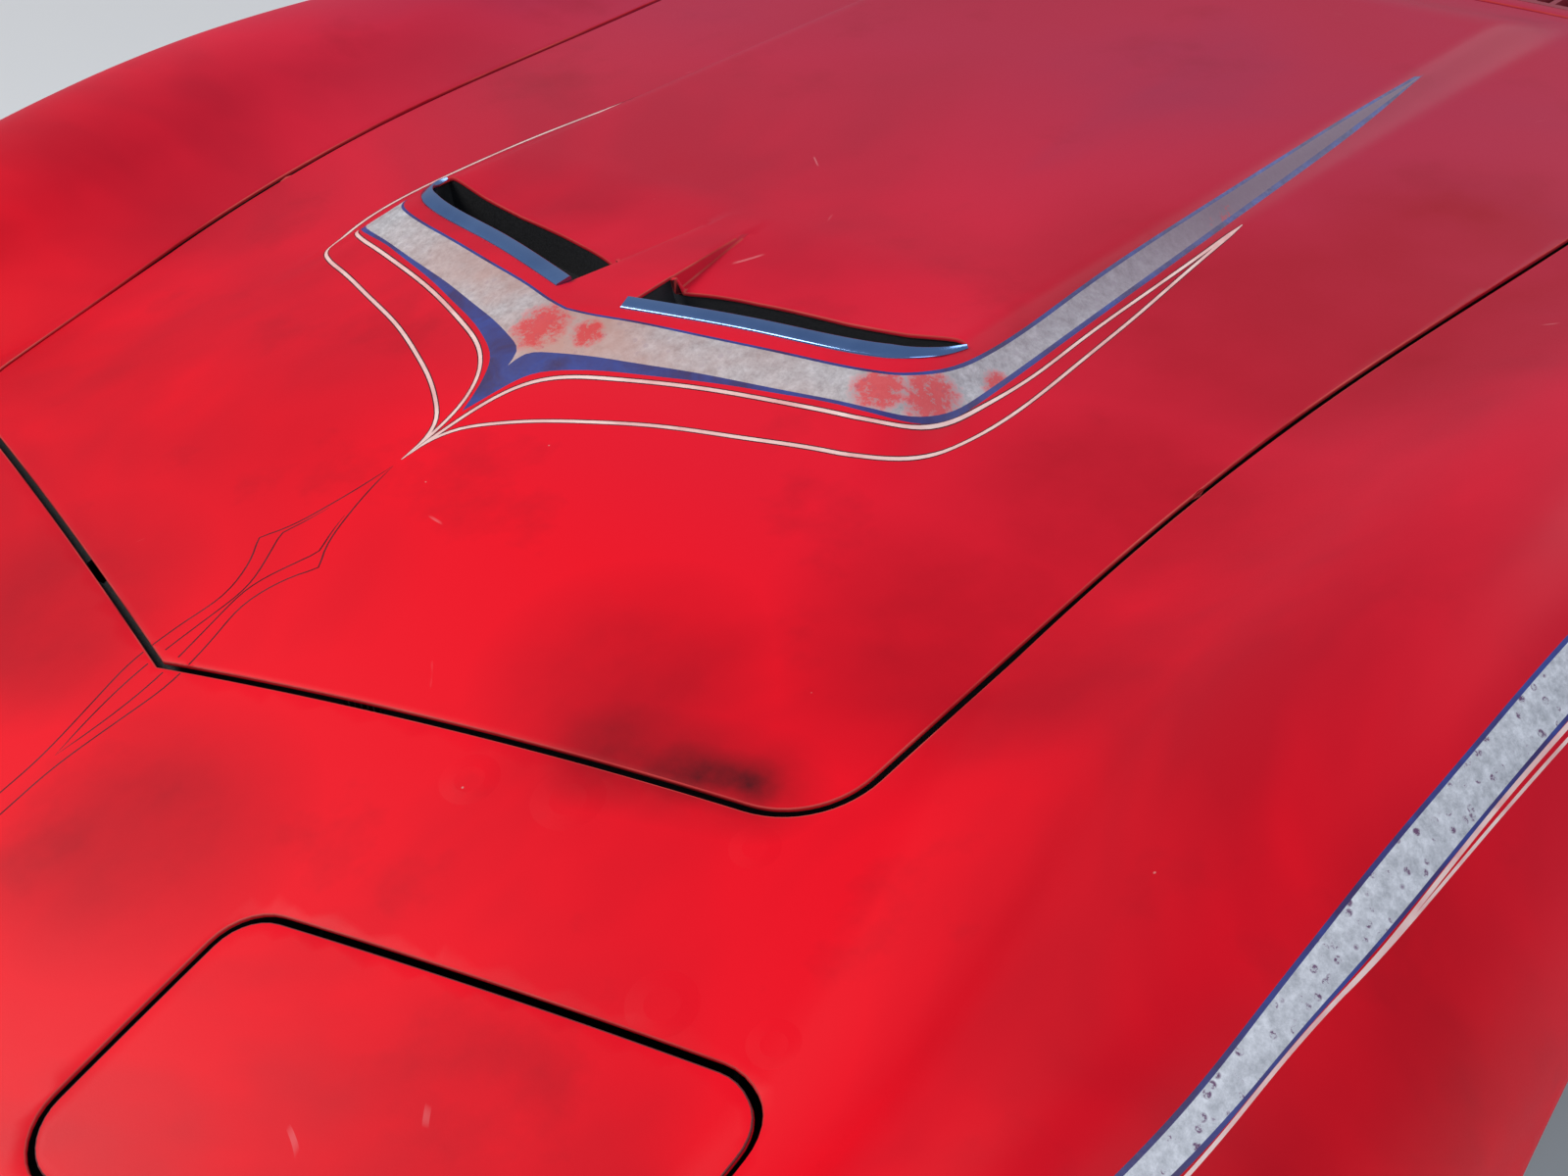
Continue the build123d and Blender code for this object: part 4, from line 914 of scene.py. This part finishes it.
# Wing stripe: station and girth of its inner and outer edges and its two white pins
WING_IN = ((-75, 788), (-40, 792), (14, 796), (75, 798.5), (114, 799), (170, 801), (220, 803.5),
           (300, 808), (366, 809.5), (423, 810), (560, 811), (700, 811), (860, 809), (1000, 804),
           (1090, 797))
WING_OUT = ((-75, 788), (-40, 801), (32, 812.5), (67, 815.5), (121, 820), (192, 830),
            (272, 836.5), (337, 838.5), (392, 839), (560, 839), (700, 836), (860, 826),
            (1000, 811), (1090, 797))
WHITE_A = ((-75, 796), (-20, 812), (37, 819), (66, 821), (102, 823), (145, 828.5), (188, 836),
           (234, 840), (295, 842), (387, 844), (560, 844.5), (700, 842), (860, 832), (1000, 816))
WHITE_B = ((145, 828.5), (188, 837.5), (231, 843), (300, 847.5), (382, 850), (560, 851),
           (700, 848), (860, 837), (1000, 816))


def plan_to_girth(line):
    return np.stack((u_of_x(line[:, 0], line[:, 1]), line[:, 1]), 1)


def side_to_girth(line):
    """A line of y and z on the flank, as girth and station."""
    return np.stack((u_of_z(line[:, 1], line[:, 0]), line[:, 0]), 1)


def arch_line(low_z):
    """The wheel arch's edge as seen from the side, from its front foot over to its rear foot."""
    low = low_z - ARCH_Z
    half = math.sqrt(ARCH_R ** 2 - low ** 2)
    angles = np.linspace(math.atan2(low, -half) + 2 * math.pi, math.atan2(low, half), 120)
    return np.stack((ARCH_Y + ARCH_R * np.cos(angles), ARCH_Z + ARCH_R * np.sin(angles)), 1)


def body_outline():
    """Left half of the fixed skin's outline, as girth and station, and its stretch along the nose."""
    girths = np.arange(0, FOOT_U, 8.0)
    top_z = body_xz(girths, front_limit(girths, 0.0))[1]
    split_u = float(girths[np.argmax(top_z < SPLIT_Z)])
    u = np.append(np.arange(0, split_u, 8.0), split_u)
    front = np.stack((u, front_limit(u, FILLET)), 1)
    split_line = side_to_girth(straight((float(front[-1, 1]), SPLIT_Z), (JOINT_Y, SPLIT_Z)))
    front[-1] = split_line[0]
    arch = side_to_girth(arch_line(FOOT_Z))
    arch[[0, -1], 0] = FOOT_U
    slot = [(0, SLOT_REAR_Y), (SLOT_X, SLOT_REAR_Y), (SLOT_X, SLOT_FRONT_Y), (0, SLOT_FRONT_Y)]
    slot = plan_to_girth(rounded(slot, (0, 8, 8, 0), 8.0))
    seam = plan_to_girth(bonnet_edge(GAP / 2))[::-1]
    slot[[0, -1], 0] = seam[[0, -1], 0] = 0
    outline = chained(
        front, split_line,
        straight((float(split_line[-1, 0]), JOINT_Y), (FOOT_U, JOINT_Y)),
        straight((FOOT_U, JOINT_Y), (FOOT_U, float(arch[0, 1]))), arch,
        straight((FOOT_U, float(arch[-1, 1])), (FOOT_U, REAR_Y)),
        straight((FOOT_U, REAR_Y), (0, REAR_Y)),
        straight((0, REAR_Y), (0, SLOT_REAR_Y)), slot,
        straight((0, SLOT_FRONT_Y), (0, float(seam[0, 1]))), seam,
        straight((0, float(seam[-1, 1])), (0, float(front[0, 1]))))
    return outline, front


def nose_rows(front, start):
    """Rows of points that roll over the nose's edge and run down to the split."""
    corner_y = front_limit(front[:, 0], 0.0)
    corner_x, corner_z = body_xz(front[:, 0], corner_y)
    edge = np.stack((corner_x, corner_y, corner_z), 1)
    low_z = np.maximum(corner_z - FILLET, SPLIT_Z)
    line = front_line(0.0)
    nearest = [np.argmin(((line - e[:2]) ** 2).sum(1)) for e in edge]
    inward = left_of(np.gradient(line, axis=0))[nearest]

    def wall(z):
        xy = edge[:, :2] + inward * (drawn_in(z) - drawn_in(corner_z))[:, None]
        return np.column_stack((xy, z))

    end = wall(low_z)
    end[0, 0] = 0
    rows = [(1 - t) ** 2 * start + 2 * t * (1 - t) * edge + t * t * end
            for t in (0.17, 0.34, 0.5, 0.66, 0.83, 1.0)]
    rows += [wall(low_z + (SPLIT_Z - low_z) * share) for share in (0.33, 0.66, 1.0)]
    for row in rows:
        row[0, 0] = 0
    return rows


def build_body():
    """One skin over nose, wings and cowl, left half mirrored."""
    outline, front = body_outline()
    lid_hole = plan_to_girth(lid_edge(GAP / 2))
    y0, y1, z0, z1 = VENT
    vent_hole = rounded([(y0, z0), (y1, z0), (y1, z1), (y0, z1)], (4, 4, 4, 4), 8.0, closed=True)
    vent_hole = side_to_girth(vent_hole)
    stripe_in, stripe_out = (smooth_line(np.array(line)[:, ::-1], 8.0) for line in (WING_IN, WING_OUT))
    inner_blue, outer_blue = beside(stripe_in, 3.0), beside(stripe_out, -3.0)
    inner_blue[[0, -1]], outer_blue[[0, -1]] = stripe_in[[0, -1]], stripe_out[[0, -1]]
    whites = [pinned(np.array(line)[:, ::-1], width) for line, width in ((WHITE_A, 3.4), (WHITE_B, 2.4))]
    nose_pins = []
    for points in (NOSE_OUTER_PIN, NOSE_INNER_PIN):
        pin = [line[line[:, 1] < bonnet_front_y(line[:, 0]) - 1.5]
               for line in pinned(points, NOSE_PIN_WIDTH)]
        nose_pins.append([plan_to_girth(line) for line in pin])
    features = [stripe_in, stripe_out, inner_blue, outer_blue, *whites[0], *whites[1], *nose_pins[0],
                *nose_pins[1]]
    fine_low, fine_high = CREST_U - 40, SHOULDER_U + 60
    spans = ((0, SEAM_U, 13.0), (SEAM_U, fine_low, 11.0), (fine_low, fine_high, 7.0),
             (fine_high, FOOT_U, 13.0))
    across = np.concatenate([np.arange(*span) for span in spans])
    grid = grid_points(across, np.arange(-430, REAR_Y, 11.0))
    flat, faces, centres = cut_sheet(outline, [lid_hole, vent_hole], features, grid, 4.0)
    x, z = body_xz(*flat.T)
    index = np.zeros(len(faces), int)
    for low, high, paint in ((inner_blue, outer_blue, BLUE_FACE), (stripe_in, stripe_out, SILVER_FACE),
                             (*whites[0], CREAM_FACE), (*whites[1], CREAM_FACE),
                             (*nose_pins[0], TAUPE_FACE), (*nose_pins[1], TAUPE_FACE)):
        index[inside(centres, ring(low, high))] = paint
    vertices = list(np.stack((x, flat[:, 1], z), 1))
    faces, index = [tuple(f) for f in faces], list(index)
    last = along_line(flat, front).tolist()
    for row in nose_rows(flat[last], np.array([vertices[i] for i in last])):
        now = list(range(len(vertices), len(vertices) + len(row)))
        vertices.extend(row)
        faces.extend(zip(last, now, now[1:], last[1:]))
        index.extend([RED_FACE] * (len(row) - 1))
        last = now
    vertices = to_row(vertices)
    vertices[np.abs(vertices[:, 0]) < CLOSE, 0] = 0.0
    faces, index = off_centre(vertices, faces, index)
    skin = new_object("body_skin", vertices, faces, PAINTS, index)
    edit_mesh(skin, joined_within(0.0001), OUTWARD)
    top = max(skin.data.polygons, key=lambda p: p.center.z)
    if top.normal.z < 0:
        skin.data.flip_normals()
    apply_modifier(skin, "MIRROR", use_axis=(True, False, False), merge_threshold=CLOSE)
    finish_skin(skin, len(PAINTS) - 1)
    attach(skin, "shell")
    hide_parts("nose_panel", "wing_left", "wing_right", "cowl_panel")
    return skin


def build_lid(name, side):
    edge = lid_edge(-GAP / 2)
    grid = grid_points(np.arange(210, 600, 9.0), np.arange(-320, 30, 9.0))
    flat, faces, _ = cut_sheet(edge, [], [], grid, 4.0)
    x, y = flat.T
    vertices = to_row(np.stack((x * side, y, body_z(x, y)), 1))
    if side < 0:
        faces = faces[:, ::-1]
    lid = new_object("lid_skin_" + name, vertices, faces, [RED, UNDERCOAT])
    finish_skin(lid, 1)
    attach(lid, "headlamp_unit_" + name)
    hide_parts("headlamp_lid_" + name)


def unit_rows(v):
    return v / np.sqrt((v ** 2).sum(1))[:, None]


def sweep(name, path, normals, profile, material, taper=1.0):
    """A bar of a given profile along a path, closed at both ends; profile holds across and up."""
    path = np.asarray(path, float)
    d = unit_rows(np.gradient(path, axis=0))
    across = unit_rows(np.cross(d, np.asarray(normals, float)))
    up = np.cross(across, d)
    count, n = len(path), len(profile)
    size = np.broadcast_to(taper, count)[:, None]
    rings = [path + (across * a + up * b) * size for a, b in profile]
    vertices = np.stack(rings, 1).reshape(-1, 3)
    faces = [(i * n + k, i * n + j, (i + 1) * n + j, (i + 1) * n + k)
             for i in range(count - 1) for k in range(n) for j in ((k + 1) % n,)]
    faces += [tuple(range(n - 1, -1, -1)), tuple((count - 1) * n + k for k in range(n))]
    bar = new_object(name, to_row(vertices), faces, [material])
    edit_mesh(bar, OUTWARD)
    return smooth_shade(bar, 50)


def surface_normals(line, height):
    x, y = line.T
    e = 2.0
    gx = (height(x + e, y) - height(x - e, y)) / (2 * e)
    gy = (height(x, y + e) - height(x, y - e)) / (2 * e)
    return unit_rows(np.stack((-gx, -gy, np.ones(len(x))), 1))


LIP_PATH = ((34, 422), (95, 438), (146, 449.5), (198, 458.5), (240, 468), (269, 482), (283, 501),
            (288, 519))
LIP_PROFILE = ((7.0, -1.0), (7.0, 0.6), (6.3, 1.4), (-5.4, 4.6), (-6.4, 4.2), (-7.0, 3.0),
               (-7.0, -6.0), (-5.4, -6.0), (-5.4, -1.0))


def build_lip(name, side):
    """Bright strip along the front of one scoop, running out to a point round its outer corner."""
    path = smooth_line(LIP_PATH, 5.0)
    points = np.column_stack((path, dome_skin_z(*path.T)))
    normals = surface_normals(path, dome_skin_z)
    left = len(path) - 1 - np.arange(len(path))
    taper = np.clip(0.25 + left / 16.0, 0.25, 1)
    points[:, 0] *= side
    normals[:, 0] *= side
    profile = LIP_PROFILE if side > 0 else tuple((-a, b) for a, b in LIP_PROFILE)
    lip = sweep("chrome_lip_" + name, points, normals, profile, SKY_TINTED_CHROME, taper)
    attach(lip, "bonnet_panel")
    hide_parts("scoop_lip_" + name)


# Black tray under a scoop's mouth: how far it is drawn in, and its top and bottom below the skin
DUCT_INSET, DUCT_TOP, DUCT_DEPTH, DUCT_WALL, DUCT_FLOOR = 3.5, 4.2, 42.0, 0.002, 0.9


def build_duct(name, side):
    """Black tray under one scoop's mouth."""
    line = closed_beside(mouth_line(), -DUCT_INSET)
    x, y = line.T
    top = dome_skin_z(x, y) - DUCT_TOP - np.where(y > lead_y(x), scoop_drop(x, y), 0)
    low = dome_skin_z(x, y) - DUCT_DEPTH
    floor_line = line * DUCT_FLOOR + line.mean(0) * 0.1
    n = len(line)
    vertices = np.vstack((np.column_stack((line, top)), np.column_stack((floor_line, low))))
    vertices[:, 0] *= side
    faces = [(i, n + i, n + (i + 1) % n, (i + 1) % n) for i in range(n)] + [tuple(range(n, 2 * n))]
    if side < 0:
        faces = [f[::-1] for f in faces]
    duct = new_object("air_duct_" + name, to_row(vertices), faces, [BLACK])
    smooth_shade(add_wall(duct, DUCT_WALL))
    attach(duct, "bonnet_panel")


def blocks(name, corners, material, edge):
    """Upright blocks in one mesh, each from its low and high corner in metres, with softened edges."""
    vertices, faces = [], []
    for low, high in corners:
        first = len(vertices)
        vertices.extend((x, y, z) for x in (low[0], high[0])
                        for y in (low[1], high[1]) for z in (low[2], high[2]))
        faces.extend(tuple(first + i for i in face) for face in
                     ((0, 1, 3, 2), (4, 6, 7, 5), (0, 4, 5, 1),
                      (2, 3, 7, 6), (0, 2, 6, 4), (1, 5, 7, 3)))
    piece = new_object(name, vertices, faces, [material])
    if edge:
        round_edges(piece, edge, segments=3)
    return smooth_shade(piece)


# Radiator, in m: tanks, side cheeks, fins and tubes, how far each lies behind the faces, and
# how far they run into each other
TANK, CHEEK, FIN, FIN_PITCH, TUBE, TUBE_PITCH = 0.034, 0.012, 0.0022, 0.008, 0.004, 0.030
CHEEK_INSET, FIN_INSET, TUBE_INSET, CORE_INSET, BITE = 0.004, 0.006, 0.010, 0.022, 0.001


def build_radiator():
    """Core of upright fins and level tubes between a top and a bottom tank."""
    low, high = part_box("radiator")
    fin_low, fin_high = low[2] + TANK - BITE, high[2] - TANK + BITE
    left, right = low[0] + CHEEK, high[0] - CHEEK

    def block(x0, x1, inset, z0=fin_low, z1=fin_high):
        return (x0, low[1] + inset, z0), (x1, high[1] - inset, z1)

    tanks = [block(low[0], high[0], 0, low[2], low[2] + TANK),
             block(low[0], high[0], 0, high[2] - TANK, high[2]),
             *(block(x, x + CHEEK, CHEEK_INSET) for x in (low[0], right))]
    fins = [block(x, x + FIN, FIN_INSET) for x in np.arange(left + 0.003, right - FIN, FIN_PITCH)]
    tubes = [block(left - BITE, right + BITE, TUBE_INSET, z, z + TUBE)
             for z in np.arange(fin_low + 0.012, fin_high - TUBE, TUBE_PITCH)]
    tubes.append(block(left - BITE, right + BITE, CORE_INSET))
    for piece in (blocks("radiator_tanks", tanks, BLACK_STEEL, 0.003),
                  blocks("radiator_fins", fins, CORE, 0), blocks("radiator_tubes", tubes, CORE, 0)):
        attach(piece, "shell")
        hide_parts("radiator")


# Return flange inside the wheel arch: outward from the wing's face, then towards the wheel
ARCH_LIP = ((-0.5, -0.3), (-0.9, 1.7), (-1.9, 2.4), (-17.0, 2.4), (-17.0, -0.3))
# Outline of the valance's low rear corner, in mm from the tip
VALANCE_FOOT = ((818.7, 67.7, -510), (822.3, 131, -510), (830.9, 131, -475.7),
                (826.6, 70.5, -474.1), (824.7, 66.6, -481.9))


def build_arch_lip(name, side):
    """Folded edge of the wing round the wheel arch."""
    line = arch_line(FOOT_Z + 1.5)
    x, z = body_xz(*side_to_girth(line).T)
    path = np.column_stack((side * x, line[:, 0], z))
    inward = np.column_stack((np.zeros(len(line)), ARCH_Y - line[:, 0], ARCH_Z - line[:, 1])) / ARCH_R
    profile = tuple((-side * a, b) for a, b in ARCH_LIP)
    lip = sweep("arch_lip_" + name, path, inward, profile, ARCH_TRIM)
    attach(lip, "shell")


def build_valance_foot(name, side):
    """Low rear corner of the valance, up to the wing's front edge."""
    points = to_row(VALANCE_FOOT) * (side, 1, 1)
    faces = [(0, 1, 2), (0, 2, 3), (0, 3, 4)] if side > 0 else [(0, 2, 1), (0, 3, 2), (0, 4, 3)]
    foot = new_object("valance_foot_" + name, points, faces, [RED])
    smooth_shade(add_wall(foot))
    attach(foot, "shell")


# Headlamps, in mm: the plane they face out of at rest, from the tip, then the lamps' own sizes
LAMP_AXIS = Vector((1, V_SLOPE, 0)).normalized()
LAMP_PIVOT = Vector((364.637, 4.41, -91.0))
LAMP_TILT, LAMP_ABOVE, LAMP_SPAN = math.radians(55), 60.0, 144.0
RING_R, LENS_R, LENS_FRONT, LENS_BOW = 59.4, 53.5, 131.0, 2.4
FLUTE, FLUTE_DEPTH = 7.6, 0.9
# Radius and height of the bright ring and of the bowl behind it
RING_PROFILE = ((RING_R, 122.5), (RING_R, 133.0), (RING_R - 1.0, 134.0), (RING_R - 4.0, 134.0),
                (LENS_R + 0.6, 131.6), (LENS_R - 1.5, 129.5), (LENS_R - 1.5, 122.5), (RING_R, 122.5))
BOWL_PROFILE = ((0.0, 122.4), (RING_R, 122.4), (RING_R, 119.0), (RING_R - 6, 104.0),
                (RING_R - 16, 92.0), (RING_R - 32, 86.4), (0.0, 86.4))


def turned(name, profile, material):
    """A round piece spun from its profile of radius and height."""
    points = [(r / 1000, 0, z / 1000) for r, z in profile]
    edges = [(i, i + 1) for i in range(len(profile) - 1)]
    o = new_object(name, points, [], [material], edges=edges)
    spin = {"steps": 72, "angle": 2 * math.pi, "center": (0, 0, 0), "axis": (0, 0, 1)}
    edit_mesh(o, (bpy.ops.mesh.spin, spin), joined_within(0.00002), OUTWARD)
    return smooth_shade(o, 40)


def lens_glass(name):
    """Bowed lens with upright flutes moulded into it."""
    square = [(-LENS_R, -LENS_R), (LENS_R, -LENS_R), (LENS_R, LENS_R), (-LENS_R, LENS_R)]
    edge = rounded(square, (LENS_R - 0.01,) * 4, 2.0, closed=True)
    grid = grid_points(np.arange(-LENS_R, LENS_R, FLUTE / 6), np.arange(-LENS_R, LENS_R, 8.0))
    flat, faces, _ = cut_sheet(edge, [], [], grid, 0.8)
    far = np.hypot(*flat.T) / LENS_R
    depth = FLUTE_DEPTH * np.clip((1 - far) * 6, 0, 1)
    z = LENS_FRONT + LENS_BOW * (1 - far ** 2) - depth * np.abs(np.sin(math.pi * flat[:, 0] / FLUTE))
    lens = new_object(name, np.column_stack((flat, z)) / 1000, faces, [LAMP])
    return smooth_shade(add_wall(lens, 0.002), 60)


def build_lamps(name, side):
    """Two round lamps in bright rings, with their bowls behind."""
    facing = Matrix.Rotation(LAMP_TILT, 3, LAMP_AXIS) @ Vector((LAMP_AXIS.y, -LAMP_AXIS.x, 0))
    up = facing.cross(LAMP_AXIS)
    for hand, end in (("inner", -1), ("outer", 1)):
        pieces = (turned(f"lamp_ring_{name}_{hand}", RING_PROFILE, BRIGHT),
                  turned(f"lamp_bowl_{name}_{hand}", BOWL_PROFILE, BLACK_STEEL),
                  lens_glass(f"lamp_lens_{name}_{hand}"))
        centre = LAMP_PIVOT + LAMP_AXIS * (end * LAMP_SPAN / 2) + up * LAMP_ABOVE
        for piece in pieces:
            place = Matrix((LAMP_AXIS, up, facing)).transposed().to_4x4()
            place.translation = Vector(to_row(centre))
            piece.data.transform(place)
            if side < 0:
                piece.data.transform(Matrix.Diagonal((-1, 1, 1, 1)))
                piece.data.flip_normals()
            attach(piece, "headlamp_unit_" + name)
            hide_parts("headlamps_" + name)


build_bonnet()
build_body()
build_radiator()
for side_name, side_sign in (("left", 1), ("right", -1)):
    for build in (build_lid, build_lip, build_duct, build_lamps, build_arch_lip, build_valance_foot):
        build(side_name, side_sign)

# Floor, light and camera
PALE = 0.74
BACKDROP = (PALE, PALE, PALE * 1.01)


def pale_floor():
    """Matt pale floor, which shows the backdrop's plain colour far from the object."""
    material, nodes = new_finish("pale_floor")
    clouds = nodes.add("TexNoise", {"Scale": 30.0, "Detail": 6.0}).outputs["Fac"]
    nodes.dress({"Base Color": nodes.mix(clouds, (0.64, 0.64, 0.63), (0.70, 0.70, 0.69)),
                 "Roughness": 0.85})
    away = nodes.ramp(nodes.vector("DISTANCE", nodes.place, (0, -1, 0))["Value"], 2.0, 6.5)
    far_and_seen = nodes.times(away, nodes.add("LightPath").outputs["Is Camera Ray"])
    surface = nodes.tree.nodes["Principled BSDF"].outputs[0]
    glow = nodes.add("Emission", {"Color": BACKDROP}).outputs[0]
    nodes.show("Material Output", far_and_seen, surface, glow)
    return material


bpy.ops.object.select_all(action="DESELECT")
bpy.ops.mesh.primitive_plane_add(size=120, location=(0, 0, cad_box[0].z - 0.002))
floor = bpy.context.object
floor.name = "floor"
floor.data.materials.append(pale_floor())

world = bpy.data.worlds.new("studio")
bpy.context.scene.world = world
world.use_nodes = True
studio = Nodes(world.node_tree)
sky = world.node_tree.nodes["Background"]
studio.feed(sky.inputs["Color"], (0.66, 0.76, 0.94))
studio.feed(sky.inputs["Strength"], 0.45)
plain = studio.add("Background", {"Color": BACKDROP, "Strength": 1.0}).outputs[0]
studio.show("World Output", studio.add("LightPath").outputs["Is Camera Ray"], sky.outputs[0], plain)


def area_light(name, place, target, size, power, colour):
    data = bpy.data.lights.new(name, "AREA")
    data.shape, data.size, data.energy, data.color = "DISK", size, power, colour
    light = bpy.data.objects.new(name, data)
    light.location = place
    light.rotation_euler = (Vector(target) - Vector(place)).to_track_quat("-Z", "Y").to_euler()
    bpy.context.scene.collection.objects.link(light)


area_light("key", (-2.8, -3.6, 4.0), (0, -1.0, 0.2), 2.4, 210, (1.0, 0.97, 0.92))
area_light("fill", (3.8, -2.6, 2.8), (0, -0.8, 0.2), 3.2, 80, (0.86, 0.92, 1.0))
area_light("rear", (0.8, 3.4, 3.4), (0, -0.6, 0.2), 3.0, 70, (0.90, 0.94, 1.0))

# The photograph's viewpoint: angles in degrees, the focal length in the picture's pixels
AZIMUTH, ELEVATION, ROLL = (math.radians(a) for a in (43.1, 29.8, -1.8))
FOCAL_PIXELS, PICTURE_WIDTH, SENSOR = 2330, 1600, 36.0
level = Vector((math.cos(AZIMUTH), math.sin(AZIMUTH), 0))
forward = Vector((-math.sin(AZIMUTH) * math.cos(ELEVATION), math.cos(AZIMUTH) * math.cos(ELEVATION),
                  -math.sin(ELEVATION)))
upright = level.cross(forward)
right = level * math.cos(ROLL) + upright * math.sin(ROLL)
upward = upright * math.cos(ROLL) - level * math.sin(ROLL)
camera_data = bpy.data.cameras.new("camera")
camera_data.sensor_width, camera_data.lens = SENSOR, SENSOR * FOCAL_PIXELS / PICTURE_WIDTH
camera_data.clip_start = 0.05
camera = bpy.data.objects.new("camera", camera_data)
camera.matrix_world = Matrix((right, upward, -forward)).transposed().to_4x4()
camera.location = (1.2224, -2.2409, 1.0475)
bpy.context.scene.collection.objects.link(camera)
bpy.context.scene.camera = camera
bpy.context.scene.view_settings.view_transform = "Standard"
